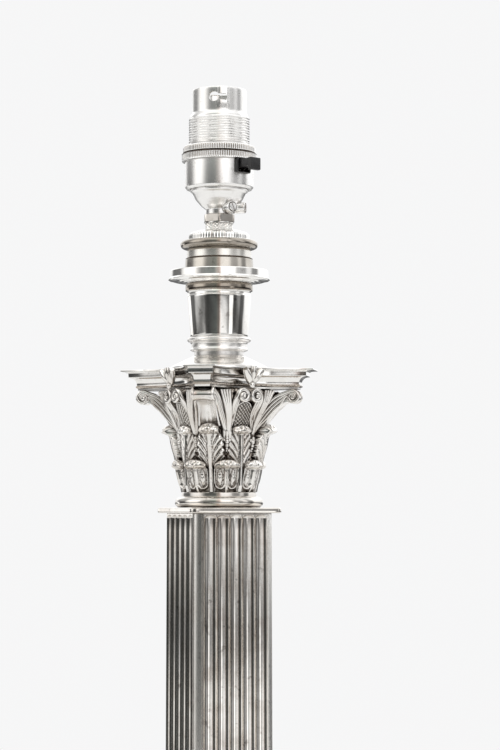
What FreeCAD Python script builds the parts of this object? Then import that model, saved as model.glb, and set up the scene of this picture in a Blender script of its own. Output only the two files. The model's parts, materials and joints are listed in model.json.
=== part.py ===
import FreeCAD, Part
import math
import os
import Sketcher
from FreeCAD import Placement, Rotation, Vector

# Corinthian column table lamp, millimetres, +Z up, origin in the middle of the
# underside. The square shaft stands parallel to X and Y and its front faces -Y.

doc = FreeCAD.newDocument("column_table_lamp")
sheet = doc.addObject("Spreadsheet::Sheet", "Dims")
rows = [0]
known = {}
nodes = []


class Q:
    """A length or angle: its number, and the same thing as sheet text."""

    def __init__(self, value, text):
        self.v = float(value)
        self.t = text

    def _both(self, other, sign):
        other = other if isinstance(other, Q) else Q(other, repr(float(other)))
        return other, f"({self.t} {sign} {other.t})"

    def __add__(self, other):
        o, t = self._both(other, "+")
        return Q(self.v + o.v, t)

    def __sub__(self, other):
        o, t = self._both(other, "-")
        return Q(self.v - o.v, t)

    def __mul__(self, other):
        o, t = self._both(other, "*")
        return Q(self.v * o.v, t)

    def __truediv__(self, other):
        o, t = self._both(other, "/")
        return Q(self.v / o.v, t)

    def __neg__(self):
        return Q(-self.v, f"(0 - {self.t})")


def dim(alias, value):
    if alias in known:
        return known[alias]
    rows[0] += 1
    sheet.set(f"A{rows[0]}", alias)
    sheet.set(f"B{rows[0]}", repr(float(value)))
    sheet.setAlias(f"B{rows[0]}", alias)
    known[alias] = Q(value, f"Dims.{alias}")
    return known[alias]


def q(x):
    return x if isinstance(x, Q) else Q(x, repr(float(x)))


def bind(obj, prop, value):
    value = q(value)
    obj.setExpression(prop, value.t)


def place(obj, x=0, y=0, z=0, turn=None):
    x, y, z = q(x), q(y), q(z)
    turn = q(turn if turn is not None else 0)
    obj.Placement = Placement(Vector(x.v, y.v, z.v), Rotation(Vector(0, 0, 1), turn.v))
    for prop, value in (("x", x), ("y", y), ("z", z)):
        obj.setExpression(f"Placement.Base.{prop}", value.t)
    if turn.v:
        obj.setExpression("Placement.Rotation.Angle", turn.t)


def node(obj, label):
    obj.Label = label
    nodes.append(obj)
    return obj


# ---- sketches ---------------------------------------------------------------
def plane(body, role):
    return [f for f in body.Origin.OriginFeatures if f.Role == role][0]


def outline(body, name, verts, role="XZ_Plane", height=None):
    """A closed outline. Each vertex is (x, y) or (x, y, radius, side): the edge
    that leaves it is then an arc of that radius bulging to that side."""
    sk = body.newObject("Sketcher::SketchObject", name)
    sk.AttachmentSupport = [(plane(body, role), "")]
    sk.MapMode = "FlatFace"
    if height is not None:
        sk.AttachmentOffset = Placement(Vector(0, 0, q(height).v), Rotation())
        sk.setExpression("AttachmentOffset.Base.z", q(height).t)
    pts = [(q(v[0]), q(v[1])) for v in verts]
    count = len(verts)
    ends, edges = [], []
    for i, v in enumerate(verts):
        a = Vector(pts[i][0].v, pts[i][1].v, 0)
        b = Vector(pts[(i + 1) % count][0].v, pts[(i + 1) % count][1].v, 0)
        if len(v) > 2:
            radius, side = q(v[2]).v, v[3]
            half = (b - a).Length / 2
            radius = max(radius, half * 1.0005)
            along = (b - a).normalize()
            out = Vector(along.y, -along.x, 0) * side
            rise = radius - math.sqrt(radius * radius - half * half)
            arc = Part.Arc(a, (a + b) * 0.5 + out * rise, b)
            edges.append(arc)
            # a sketch keeps every arc anticlockwise, so one that bulges to the left is turned round
            first = 1 if side > 0 else 2
            ends.append((first, 3 - first))
        else:
            edges.append(Part.LineSegment(a, b))
            ends.append((1, 2))
    sk.addGeometry(edges, False)
    rules, names = [], []
    for i in range(count):
        j = (i + 1) % count
        rules.append(Sketcher.Constraint("Coincident", i, ends[i][1], j, ends[j][0]))
    for i in range(count):
        for kind, value in (("DistanceX", pts[i][0]), ("DistanceY", pts[i][1])):
            if abs(value.v) < 1e-9:
                rules.append(Sketcher.Constraint(
                    "PointOnObject", i, ends[i][0], -2 if kind == "DistanceX" else -1))
            else:
                names.append((len(rules), f"{kind[-1].lower()}{i}", value))
                rules.append(Sketcher.Constraint(kind, -1, 1, i, ends[i][0], value.v))
        if len(verts[i]) > 2:
            names.append((len(rules), f"r{i}", q(verts[i][2])))
            rules.append(Sketcher.Constraint("Radius", i, q(verts[i][2]).v))
    for k, name_, value in names:
        rules[k].Name = name_
    sk.addConstraint(rules)
    for k, name_, value in names:
        if "Dims." in value.t:
            sk.setExpression(f"Constraints.{name_}", value.t)
    return sk


def circle(body, name, radius, x=0, y=0, role="XY_Plane", height=None):
    sk = body.newObject("Sketcher::SketchObject", name)
    sk.AttachmentSupport = [(plane(body, role), "")]
    sk.MapMode = "FlatFace"
    if height is not None:
        sk.AttachmentOffset = Placement(Vector(0, 0, q(height).v), Rotation())
        sk.setExpression("AttachmentOffset.Base.z", q(height).t)
    x, y, radius = q(x), q(y), q(radius)
    sk.addGeometry(Part.Circle(Vector(x.v, y.v, 0), Vector(0, 0, 1), radius.v), False)
    sk.addConstraint(Sketcher.Constraint("Radius", 0, radius.v))
    sk.renameConstraint(0, "radius")
    if "Dims." in radius.t:
        sk.setExpression("Constraints.radius", radius.t)
    for kind, value in (("DistanceX", x), ("DistanceY", y)):
        if abs(value.v) < 1e-9:
            sk.addConstraint(
                Sketcher.Constraint("PointOnObject", 0, 3, -2 if kind == "DistanceX" else -1)
            )
        else:
            sk.addConstraint(Sketcher.Constraint(kind, -1, 1, 0, 3, value.v))
            k = len(sk.Constraints) - 1
            sk.renameConstraint(k, kind.lower())
            if "Dims." in value.t:
                sk.setExpression(f"Constraints.{kind.lower()}", value.t)
    return sk


def rect(body, name, x0, y0, x1, y1, role="XY_Plane", height=None):
    return outline(body, name, [(x0, y0), (x1, y0), (x1, y1), (x0, y1)], role, height)


def new_body(name):
    body = doc.addObject("PartDesign::Body", name)
    body.AllowCompound = True
    return body


def pad(body, sketch, length, reverse=False, middle=False, taper=None):
    f = body.newObject("PartDesign::Pad", sketch.Name + "_pad")
    f.Profile = sketch
    f.Length = q(length).v
    if "Dims." in q(length).t:
        bind(f, "Length", length)
    f.Reversed = reverse
    if middle:
        f.SideType = "Symmetric"
    return f


def pocket(body, sketch, length=None, reverse=False, middle=False):
    f = body.newObject("PartDesign::Pocket", sketch.Name + "_cut")
    f.Profile = sketch
    if length is None:
        f.Type = "ThroughAll"
    else:
        f.Length = q(length).v
        if "Dims." in q(length).t:
            bind(f, "Length", length)
    f.Reversed = reverse
    if middle:
        f.SideType = "Symmetric"
    return f


def spin(body, sketch, angle=360.0, middle=False):
    f = body.newObject("PartDesign::Revolution", sketch.Name + "_turn")
    f.Profile = sketch
    f.ReferenceAxis = (sketch, ["V_Axis"])
    f.Angle = q(angle).v
    if "Dims." in q(angle).t:
        bind(f, "Angle", angle)
    f.Midplane = middle
    return f


def polar(body, features, count, angle=360.0):
    f = body.newObject("PartDesign::PolarPattern", body.Name + "_pattern")
    f.Originals = features
    f.Axis = (plane(body, "Z_Axis"), [""])
    f.Angle = angle
    f.Occurrences = count
    body.Tip = f
    return f


def turned(label, profile, z=0, turn=None, export=True):
    """A piece turned on the lathe. profile: (name, radius, height[, arc, side])."""
    body = new_body(label + "_body")
    verts = []
    for p in profile:
        v = [dim(f"{label}_{p[0]}_radius", p[1]), dim(f"{label}_{p[0]}_level", p[2])]
        if len(p) > 3:
            v += [dim(f"{label}_{p[0]}_arc", p[3]), p[4]]
        verts.append(tuple(v))
    spin(body, outline(body, label + "_profile", verts))
    place(body, 0, 0, z, turn)
    return node(body, label) if export else body


# ---- Part primitives --------------------------------------------------------
def frustum(name, low, high, z0, z1):
    """A square frustum: half widths low and high at levels z0 and z1."""
    f = doc.addObject("Part::Wedge", name)
    low, high, z0, z1 = q(low), q(high), q(z0), q(z1)
    for prop, value in (
        ("Xmin", -low), ("Xmax", low), ("Zmin", -low), ("Zmax", low),
        ("X2min", -high), ("X2max", high), ("Z2min", -high), ("Z2max", high),
        ("Ymin", q(0)), ("Ymax", z1 - z0),
    ):
        setattr(f, prop, value.v)
        if "Dims." in value.t:
            f.setExpression(prop, value.t)
    f.Placement = Placement(Vector(0, 0, z0.v), Rotation(Vector(1, 0, 0), 90))
    f.setExpression("Placement.Base.z", z0.t)
    return f


def box(name, x0, y0, z0, x1, y1, z1):
    f = doc.addObject("Part::Box", name)
    x0, y0, z0, x1, y1, z1 = (q(v) for v in (x0, y0, z0, x1, y1, z1))
    for prop, value in (("Length", x1 - x0), ("Width", y1 - y0), ("Height", z1 - z0)):
        setattr(f, prop, value.v)
        if "Dims." in value.t:
            f.setExpression(prop, value.t)
    place(f, x0, y0, z0)
    return f


def cylinder(name, radius, z0, z1, x=0, y=0):
    f = doc.addObject("Part::Cylinder", name)
    radius, z0, z1 = q(radius), q(z0), q(z1)
    f.Radius, f.Height = radius.v, (z1 - z0).v
    if "Dims." in radius.t:
        f.setExpression("Radius", radius.t)
    if "Dims." in z1.t + z0.t:
        f.setExpression("Height", (z1 - z0).t)
    place(f, x, y, z0)
    return f


def rod(name, radius, length, start, direction):
    """A cylinder from a point along a direction, for slanted and level pieces."""
    f = doc.addObject("Part::Cylinder", name)
    radius, length = q(radius), q(length)
    f.Radius, f.Height = radius.v, length.v
    if "Dims." in radius.t:
        f.setExpression("Radius", radius.t)
    if "Dims." in length.t:
        f.setExpression("Height", length.t)
    sx, sy, sz = (q(v) for v in start)
    f.Placement = Placement(
        Vector(sx.v, sy.v, sz.v), Rotation(Vector(0, 0, 1), Vector(*direction))
    )
    for prop, value in (("x", sx), ("y", sy), ("z", sz)):
        if "Dims." in value.t:
            f.setExpression(f"Placement.Base.{prop}", value.t)
    return f


def fuse(name, shapes):
    f = doc.addObject("Part::MultiFuse", name)
    f.Shapes = shapes
    f.Refine = True
    return f


def cut(name, base, tool):
    f = doc.addObject("Part::Cut", name)
    f.Base, f.Tool = base, tool
    return f


def tool_of(name, shapes):
    return shapes[0] if len(shapes) == 1 else fuse(name, shapes)


def group(label, shape):
    """Separate solids of one kind that share a node."""
    f = doc.addObject("Part::Feature", label + "_group")
    f.Shape = shape
    return node(f, label)


def around(shape, angles, z=0.0):
    """Copies of one solid about the lamp's axis, as a compound."""
    copies = []
    for a in angles:
        c = shape.copy()
        c.Placement = Placement(
            Vector(0, 0, z), Rotation(Vector(0, 0, 1), a)
        ).multiply(c.Placement)
        copies += c.Solids
    return Part.makeCompound(copies)


# ---- levels -----------------------------------------------------------------
rod_radius = dim("rod_radius", 5.0)
rod_clear = dim("rod_clear", 0.15)
bore = rod_radius + rod_clear
foot_level = dim("foot_level", 1.0)
shell_top = dim("shell_top", 42.0)
plinth_top = dim("plinth_top", 64.0)
moulding_top = dim("moulding_top", 68.0)
shaft_bottom = dim("shaft_bottom", 82.0)
shaft_length = dim("shaft_length", 240.0)
plate_thick = dim("plate_thick", 2.5)
plate_low = shaft_bottom + shaft_length
deck = plate_low + plate_thick          # upper face of the necking plate
capital_turn = dim("capital_turn", 10.5)  # the capital sits turned on the column
diag = dim("capital_corner_angle", 55.5)  # 45 degrees plus the turn

# ---- base -------------------------------------------------------------------
foot_half = dim("foot_half", 68.0)
border_half = dim("border_half", 63.0)
riser_half = dim("riser_half", 58.0)
ogee_half = dim("ogee_half", 47.0)
cavetto_half = dim("cavetto_half", 34.0)
wall = dim("shell_wall", 1.5)
z_foot = dim("foot_edge_level", 6.0)
z_border = dim("border_level", 10.0)
z_riser = dim("riser_level", 23.0)
z_ogee = dim("ogee_level", 31.0)
z_fillet = dim("ogee_fillet_level", 34.0)

outer = fuse("shell_outer", [
    frustum("shell_o1", foot_half, foot_half, foot_level, z_foot),
    frustum("shell_o2", riser_half, riser_half, z_foot, z_riser),
    frustum("shell_o3", riser_half, ogee_half, z_riser, z_ogee),
    frustum("shell_o4", ogee_half, ogee_half, z_ogee, z_fillet),
    frustum("shell_o5", ogee_half - 1, cavetto_half, z_fillet, shell_top),
])
inner = fuse("shell_inner", [
    frustum("shell_i1", foot_half - wall, foot_half - wall, foot_level, z_foot - wall),
    frustum("shell_i2", riser_half - wall, riser_half - wall, z_foot - wall, z_riser - 0.5),
    frustum("shell_i3", riser_half - wall, ogee_half - wall - 1, z_riser - 0.5, z_ogee),
    frustum("shell_i5", ogee_half - wall - 1, cavetto_half - wall - 1, z_ogee, shell_top - wall),
    cylinder("shell_bore", bore, shell_top - 4, shell_top + 1),
])
shell = cut("shell_body", outer, inner)
bush_level = dim("bush_level", 16.6)
bush_hole = dim("bush_hole_radius", 4.6)
hole = rod("shell_cord_hole", bush_hole, 12.0, (0, riser_half - 6, bush_level), (0, 1, 0))
node(cut("base_shell_cut", shell, hole), "base_shell")

# bead border seated on the foot, round the riser
border = cut(
    "border_ring",
    frustum("border_out", border_half, border_half - 1.5, z_foot, z_border),
    frustum("border_in", riser_half + 0.02, riser_half + 0.02, z_foot, z_border),
)
node(border, "bead_border")

plinth_half = dim("plinth_half", 31.5)
plinth = cut(
    "plinth_cut",
    frustum("plinth_out", plinth_half, plinth_half, shell_top, plinth_top),
    fuse("plinth_in", [
        frustum("plinth_hollow", plinth_half - wall, plinth_half - wall, shell_top, plinth_top - wall),
        cylinder("plinth_bore", bore, plinth_top - 3, plinth_top + 1),
    ]),
)
node(plinth, "plinth")

cap_half = dim("plinth_cap_half", 35.5)
cap_cut = cut(
    "plinth_moulding_cut",
    fuse("plinth_moulding_out", [
        frustum("plinth_moulding_a", plinth_half + 0.5, cap_half, plinth_top, plinth_top + 2),
        frustum("plinth_moulding_b", cap_half, cap_half, plinth_top + 2, moulding_top),
    ]),
    cylinder("plinth_moulding_bore", bore, plinth_top - 1, moulding_top + 1),
)
node(cap_cut, "plinth_moulding")

# square attic base of the column: plate, roll, fillet, scotia, roll, fillet
body = new_body("column_base_body")
column_half = dim("column_base_half", 30.0)
steps = [
    ("plate", 30.0, 68.0, 71.0),
    ("roll", 29.0, 71.0, 75.0),
    ("fillet", 26.0, 75.0, 76.0),
    ("scotia", 23.5, 76.0, 78.5),
    ("upper_roll", 25.0, 78.5, 81.0),
    ("collar", 22.0, 81.0, 82.0),
]
for name, half, low, high in steps:
    half = dim(f"column_{name}_half", half)
    low, high = dim(f"column_{name}_low", low), dim(f"column_{name}_high", high)
    pad(body, rect(body, f"column_{name}", -half, -half, half, half, height=low), high - low)
pocket(body, circle(body, "column_base_hole", bore, height=shaft_bottom + 1), 30.0)
node(body, "column_base")

# loading weight inside the shell
weight_half = dim("weight_half", 42.0)
weight_low, weight_high = dim("weight_low", 4.4), dim("weight_high", 24.0)
weight_corner = dim("weight_screw_reach", 36.0)
weight_tools = [cylinder("weight_bore", dim("weight_bore_radius", 14.0), weight_low - 1, weight_high + 1)]
for i, (sx, sy) in enumerate(((1, 1), (1, -1), (-1, 1), (-1, -1))):
    weight_tools.append(cylinder(
        f"weight_screw_hole{i}", dim("weight_screw_radius", 1.7), weight_low - 1, weight_low + 9,
        weight_corner * sx, weight_corner * sy))
weight_tools.append(box("weight_cord_way", -7.5, 10, weight_low - 1, 7.5, weight_half + 1, weight_low + 18))
weight = cut("weight_cut", frustum("weight_block", weight_half, weight_half - 1, weight_low, weight_high),
             fuse("weight_tools", weight_tools))
node(weight, "loading_weight")

# closing plate, screws, baize
closing_half = dim("closing_plate_half", 66.0)
closing_low, closing_high = dim("closing_plate_low", 2.4), dim("closing_plate_high", 4.0)
plate_tools = []
for i, (sx, sy) in enumerate(((1, 1), (1, -1), (-1, 1), (-1, -1))):
    plate_tools.append(cylinder(
        f"closing_hole{i}", 1.75, closing_low - 1, closing_high + 1, weight_corner * sx, weight_corner * sy))
node(cut("closing_plate_cut",
         frustum("closing_plate_sheet", closing_half, closing_half, closing_low, closing_high),
         fuse("closing_plate_tools", plate_tools)), "closing_plate")

baize_half = dim("baize_half", 67.0)
baize_high = dim("baize_thick", 1.0)
node(frustum("baize_sheet", baize_half, baize_half, 0, baize_high), "baize_pad")

screw_head = dim("base_screw_head", 3.0)
screw_shank = dim("base_screw_shank", 1.65)
one = fuse("base_screw_one", [
    cylinder("base_screw_head_c", screw_head, closing_low - 1.3, closing_low, weight_corner, weight_corner),
    cylinder("base_screw_shank_c", screw_shank, closing_low, closing_low + 10, weight_corner, weight_corner),
])

# cord entry bush through the back of the riser, with its clamping nut inside
bush_bore = dim("bush_bore_radius", 3.5)
bush = cut(
    "bush_cut",
    fuse("bush_solid", [
        rod("bush_flange", dim("bush_flange_radius", 6.3), 2.5, (0, riser_half + 0.02, bush_level), (0, 1, 0)),
        rod("bush_barrel", bush_hole - 0.1, 9.0, (0, riser_half - 7, bush_level), (0, 1, 0)),
    ]),
    rod("bush_way", bush_bore, 20.0, (0, riser_half - 9, bush_level), (0, 1, 0)),
)
node(bush, "cord_entry_bush")

# ---- tie-rod ----------------------------------------------------------------
rod_low = dim("rod_low", 33.0)
rod_top_above = dim("rod_top_above_deck", 139.5)
rod_wall = dim("rod_inner_radius", 3.6)
body = new_body("tie_rod_body")
rod_low_z, rod_high_z = rod_low, deck + rod_top_above
spin(body, outline(body, "tie_rod_profile", [
    (rod_wall, rod_low_z), (rod_radius, rod_low_z), (rod_radius, rod_high_z), (rod_wall, rod_high_z)]))
node(body, "tie_rod")
# washer and nut inside the base, against the top of the shell
rod_washer_thick = dim("rod_washer_thick", 1.2)
washer_out = dim("rod_washer_radius", 13.0)
node(cut("rod_washer_cut",
         cylinder("rod_washer_disc", washer_out, shell_top - wall - rod_washer_thick, shell_top - wall - 0.02),
         cylinder("rod_washer_bore", bore, shell_top - wall - 3, shell_top)), "rod_washer")
nut_height = dim("rod_nut_height", 4.0)
hexagon = doc.addObject("Part::Prism", "rod_nut_hex")
hexagon.Polygon = 6
hexagon.Circumradius = 9.2
bind(hexagon, "Circumradius", dim("rod_nut_reach", 9.2))
bind(hexagon, "Height", nut_height)
place(hexagon, 0, 0, shell_top - wall - rod_washer_thick - nut_height - 0.02)
node(cut("rod_nut_cut", hexagon, cylinder("rod_nut_bore", bore, shell_top - 10, shell_top)), "rod_nut")

# ---- shaft ------------------------------------------------------------------
shaft_top_half = dim("shaft_top_half", 19.55)
shaft_foot_half = dim("shaft_foot_half", 20.1)
chamfer = dim("shaft_chamfer", 3.96)       # leg of the cut corner
flutes = 5
flute_depth = 1.55


def shaft_outline(body, name, half, height, fluted):
    """Square with cut corners, five hollow flutes on each face."""
    inner_half = half - chamfer
    pitch = inner_half * (2.0 / flutes)
    verts = []
    for k in range(4):
        c, s_ = round(math.cos(math.pi / 2 * k)), round(math.sin(math.pi / 2 * k))

        def put(a, b):
            # a along the outward normal, b along the face
            x = (a * c if c else q(0)) + (b * -s_ if s_ else q(0))
            y = (a * s_ if s_ else q(0)) + (b * c if c else q(0))
            return x, y

        if fluted:
            land = 0.35
            for j in range(flutes):
                b0 = pitch * j - inner_half
                verts.append(put(half, b0))
                verts.append((*put(half, b0 + land), pitch * 0.5 + 0.1, -1))
                verts.append(put(half, b0 + pitch - land))
            verts.append(put(half, inner_half))
        else:
            verts.append(put(half, -inner_half))
            verts.append(put(half, inner_half))
    clean = []
    for v in verts:
        if clean and abs(clean[-1][0].v - v[0].v) < 1e-6 and abs(clean[-1][1].v - v[1].v) < 1e-6:
            continue
        clean.append(v)
    return outline(body, name, clean, "XY_Plane", height)


body = new_body("column_shaft_body")
flute_low, flute_high = dim("flute_low", 3.0), dim("flute_stop", 1.6)
loft = body.newObject("PartDesign::AdditiveLoft", "shaft_loft")
lower = shaft_outline(body, "shaft_lower", shaft_foot_half, shaft_bottom + flute_low, True)
upper = shaft_outline(body, "shaft_upper", shaft_top_half, plate_low - flute_high, True)
loft.Profile = lower
loft.Sections = [upper]
loft.Ruled = True
body.Tip = loft
pad(body, shaft_outline(body, "shaft_foot_band", shaft_foot_half, shaft_bottom, False), flute_low)
pad(body, shaft_outline(body, "shaft_head_band", shaft_top_half, plate_low - flute_high, False), flute_high)
hollow = dim("shaft_hollow_half", 16.2)
pocket(body, rect(body, "shaft_hollow", -hollow, -hollow, hollow, hollow, height=plate_low + 1),
       shaft_length + 2)
node(body, "column_shaft")

disc = turned("centring_disc", [
    ("in_low", 5.15, 0.0), ("out_low", 16.0, 0.0), ("out_high", 16.0, 2.0), ("in_high", 5.15, 2.0)],
    z=0, export=False)

body = new_body("necking_plate_body")
plate_half = dim("plate_half", 22.4)
plate_round = dim("plate_corner_radius", 3.0)
p, r_ = plate_half, plate_round
pad(body, outline(body, "plate_outline", [
    (p - r_, -p, r_, 1), (p, r_ - p), (p, p - r_, r_, 1), (p - r_, p),
    (r_ - p, p, r_, 1), (-p, p - r_), (-p, r_ - p, r_, 1), (r_ - p, -p)],
    "XY_Plane", plate_low), plate_thick)
pocket(body, circle(body, "plate_hole", bore, height=deck + 1), 10.0)
node(body, "necking_plate")

# ---- capital ----------------------------------------------------------------
turned("capital_base_ring", [
    ("in_low", 5.15, 0.0), ("foot", 19.4, 0.0, 2.55, 1), ("roll_top", 19.2, 5.0), ("neck", 17.3, 5.2),
    ("fillet", 17.3, 7.0), ("in_high", 5.15, 7.0)], z=deck)

bell_line = [("foot", 14.8, 7.0), ("waist", 14.8, 14.0), ("low", 15.2, 24.0), ("mid", 16.4, 34.0),
             ("high", 18.6, 43.0), ("flare", 21.0, 49.0), ("lip", 23.0, 53.0), ("rim", 23.0, 54.0)]
turned("capital_bell", bell_line + [
    ("rim_in", 20.5, 54.0), ("flare_in", 18.4, 49.0), ("high_in", 16.0, 43.0), ("mid_in", 14.0, 34.0),
    ("low_in", 12.8, 24.0), ("waist_in", 12.6, 14.0), ("foot_in", 12.6, 8.2), ("web", 5.15, 8.2),
    ("web_low", 5.15, 7.0)], z=deck)


def bell_r(level):
    for (_, r0, z0), (_, r1, z1) in zip(bell_line, bell_line[1:]):
        if z0 <= level <= z1:
            return r0 + (r1 - r0) * (level - z0) / max(z1 - z0, 1e-9)
    return bell_line[-1][1]


def leaf(label, half_angle, count, first_angle, front, low, high):
    """A row of leaves on the bell: a turned sector behind, repeated round."""
    body = new_body(label + "_body")
    back = [z for z in (7.0, 14.0, 24.0, 34.0, 43.0, 49.0) if low < z < high]
    verts = [(dim(f"{label}_back{i}_radius", bell_r(z) + 0.03), dim(f"{label}_back{i}_level", z))
             for i, z in enumerate([low] + back + [high])]
    verts.reverse()
    verts += [(dim(f"{label}_front{i}_radius", r), dim(f"{label}_front{i}_level", z))
              for i, (r, z) in enumerate(front)]
    turn_ = spin(body, outline(body, label + "_profile", verts),
                 dim(f"{label}_spread", 2 * half_angle), True)
    polar(body, [turn_], count)
    place(body, 0, 0, deck, capital_turn + first_angle)
    return node(body, label)


leaf("lower_leaves", 15.6, 8, 22.5, [
    (17.4, 7.1), (18.2, 9.5), (19.6, 13.0), (20.9, 16.8), (21.9, 18.9), (22.0, 20.0), (21.0, 21.4),
    (19.2, 21.9), (17.4, 21.2)], 7.1, 19.0)
leaf("face_leaves", 6.0, 4, 0.0, [
    (16.4, 7.1), (17.2, 14.0), (17.8, 24.0), (18.6, 30.0), (20.0, 33.6), (21.0, 34.6), (21.0, 35.8),
    (20.0, 37.3), (18.6, 37.6)], 7.1, 36.6)
leaf("corner_leaves", 6.0, 4, 45.0, [
    (17.4, 7.1), (18.6, 14.0), (21.2, 24.0), (22.8, 29.6), (25.0, 33.4), (26.9, 34.8), (27.0, 36.1),
    (25.6, 37.9), (23.2, 38.2), (20.0, 36.2), (18.6, 36.0)], 7.1, 35.0)

# corner volutes: a stalk that leaves the bell and rolls up under the abacus
body = new_body("corner_volutes_body")
volute_width = dim("volute_width", 8.6)
eye_reach, eye_level = dim("volute_eye_reach", 35.1), dim("volute_eye_level", 50.4)
eye_radius = dim("volute_eye_radius", 2.9)
stalk = pad(body, outline(body, "volute_stalk", [
    (dim("volute_a_radius", 19.4), dim("volute_a_level", 40.4)),
    (dim("volute_b_radius", 24.6), dim("volute_b_level", 40.0)),
    (dim("volute_c_radius", 30.4), dim("volute_c_level", 44.6)),
    (eye_reach - 0.6, eye_level - 2.7),
    (eye_reach, eye_level + 2.6),
    (dim("volute_d_radius", 28.0), dim("volute_d_level", 52.6)),
    (dim("volute_e_radius", 23.4), dim("volute_e_level", 48.4)),
    (dim("volute_f_radius", 20.4), dim("volute_f_level", 44.6))]), volute_width, middle=True)
scroll = pad(body, circle(body, "volute_eye", eye_radius, eye_reach, eye_level, "XZ_Plane"),
             volute_width + 1.6, middle=True)
polar(body, [stalk, scroll], 4)
place(body, 0, 0, deck, diag)
volutes = body
node(body, "corner_volutes")

# abacus: slab with concave sides and cut corners, cavetto, lower fillet
body = new_body("abacus_body")
abacus_reach = dim("abacus_reach", 45.0)     # half diagonal to the middle of a cut corner
abacus_cut = dim("abacus_cut", 7.2)          # half length of a cut corner
root = dim("half_root_two", math.sqrt(0.5))


def concave(name, shrink, low, high):
    reach = abacus_reach - shrink
    a = (reach - abacus_cut) * root
    b = (reach + abacus_cut) * root
    arc = dim(f"{name}_side_arc", 41.0)
    verts = [(b, -a, arc, -1)]
    verts = []
    for k in range(4):
        c, s_ = round(math.cos(math.pi / 2 * k)), round(math.sin(math.pi / 2 * k))
        pts = []
        for (u, v) in ((b, -a), (b, a)):
            x = (u * c if c else q(0)) + (v * -s_ if s_ else q(0))
            y = (u * s_ if s_ else q(0)) + (v * c if c else q(0))
            pts.append((x, y))
        verts.append((*pts[0], arc, -1))
        verts.append(pts[1])
    return pad(body, outline(body, name, verts, "XY_Plane", low), high - low)


concave("abacus_fillet", dim("abacus_fillet_in", 7.2), dim("abacus_low", 54.02), dim("abacus_fillet_level", 57.6))
concave("abacus_cavetto", dim("abacus_cavetto_in", 5.4), dim("abacus_fillet_level", 57.6), dim("abacus_cavetto_level", 60.1))
concave("abacus_step", dim("abacus_step_in", 3.4), dim("abacus_cavetto_level", 60.1), dim("abacus_slab_low", 62.6))
concave("abacus_slab", dim("abacus_slab_in", 0.001), dim("abacus_slab_low", 62.6), dim("abacus_slab_high", 63.4))
pocket(body, circle(body, "abacus_hole", bore, height=70.0), 30.0)
place(body, 0, 0, deck, capital_turn)
node(body, "abacus")

# ---- cup, pan and adapter rings (levels above the deck) ---------------------
turned("abacus_dome", [
    ("in_low", 5.15, 63.42), ("edge", 22.6, 63.42), ("edge_top", 22.4, 64.6), ("slope", 18.6, 66.6),
    ("crown", 14.6, 68.4), ("crown_in", 12.4, 69.6), ("in_high", 5.15, 69.6)], z=deck)
turned("cup_stem", [
    ("in_low", 5.15, 69.62), ("neck_low", 11.5, 69.62), ("neck_high", 11.5, 71.9), ("swell_low", 12.9, 72.3),
    ("swell_high", 13.1, 76.2), ("ring_low", 14.3, 76.6), ("ring_mid", 14.4, 77.9), ("ring_high", 13.4, 78.7),
    ("in_high", 5.15, 78.7)], z=deck)
turned("candle_cup", [
    ("in_low", 5.15, 78.72), ("foot", 13.4, 78.72), ("mouth", 14.85, 97.6), ("step", 14.5, 98.0),
    ("under_rim", 14.8, 99.4), ("rim_low", 15.6, 99.8), ("rim_high", 15.7, 101.9), ("rim_top", 15.2, 103.2),
    ("rim_in", 13.2, 103.2), ("hollow_high", 13.2, 98.0), ("hollow_low", 12.2, 81.5), ("web", 5.15, 81.5)],
    z=deck)
turned("drip_pan", [
    ("in_low", 5.15, 103.22), ("seat", 14.8, 103.22), ("under", 19.0, 103.9), ("lip_low", 23.3, 104.8),
    ("lip_out", 23.6, 105.1), ("lip_high", 23.3, 105.5), ("band_low", 22.8, 106.0), ("band_high", 22.8, 109.3),
    ("rim_in", 21.9, 109.3), ("well", 21.4, 107.4), ("floor", 17.0, 106.8), ("floor_in", 5.15, 106.8)], z=deck)
turned("bung_sleeve", [
    ("in_low", 5.15, 106.82), ("out_low", 16.2, 106.82), ("mid", 15.9, 109.5), ("out_high", 15.7, 114.4),
    ("in_high", 5.15, 114.4)], z=deck)
turned("adapter_collar", [
    ("in_low", 5.15, 114.42), ("line", 15.5, 114.42), ("line_high", 15.5, 114.9), ("side_low", 14.9, 115.1),
    ("side_high", 14.9, 118.2), ("top", 14.3, 119.4), ("in_high", 5.15, 119.4)], z=deck)
turned("adapter_ring", [
    ("in_low", 5.15, 119.42), ("low", 16.4, 119.42, 1.95, 1), ("high", 16.4, 123.2), ("in_high", 5.15, 123.2)],
    z=deck)
turned("knurled_collar", [
    ("in_low", 5.15, 123.22), ("low", 14.1, 123.22), ("edge", 14.2, 125.2), ("shoulder", 13.2, 126.6),
    ("dome", 10.2, 127.6), ("crown", 6.6, 128.0), ("in_high", 5.15, 128.0)], z=deck)
turned("beaded_neck", [
    ("in_low", 5.15, 128.02), ("low", 6.4, 128.02), ("high", 6.2, 131.2), ("in_high", 5.15, 131.2)], z=deck)
turned("lock_washer", [
    ("in_low", 5.15, 131.22), ("low", 6.7, 131.22), ("high", 6.7, 131.9), ("in_high", 5.15, 131.9)], z=deck)
hexagon = doc.addObject("Part::Prism", "lock_nut_hex")
hexagon.Polygon = 6
hexagon.Circumradius = 8.0
bind(hexagon, "Circumradius", dim("lock_nut_reach", 8.0))
bind(hexagon, "Height", dim("lock_nut_height", 3.2))
place(hexagon, 0, 0, deck + 131.92, dim("lock_nut_turn", 9.0))
node(cut("lock_nut_cut", hexagon, cylinder("lock_nut_bore", bore, deck + 130, deck + 137)), "lock_nut")

# ---- lampholder -------------------------------------------------------------
switch_angle = dim("switch_angle", -72.0)
slot_angle = dim("slot_angle", -124.5)
boss_angles = (-78.0, -36.0)

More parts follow.
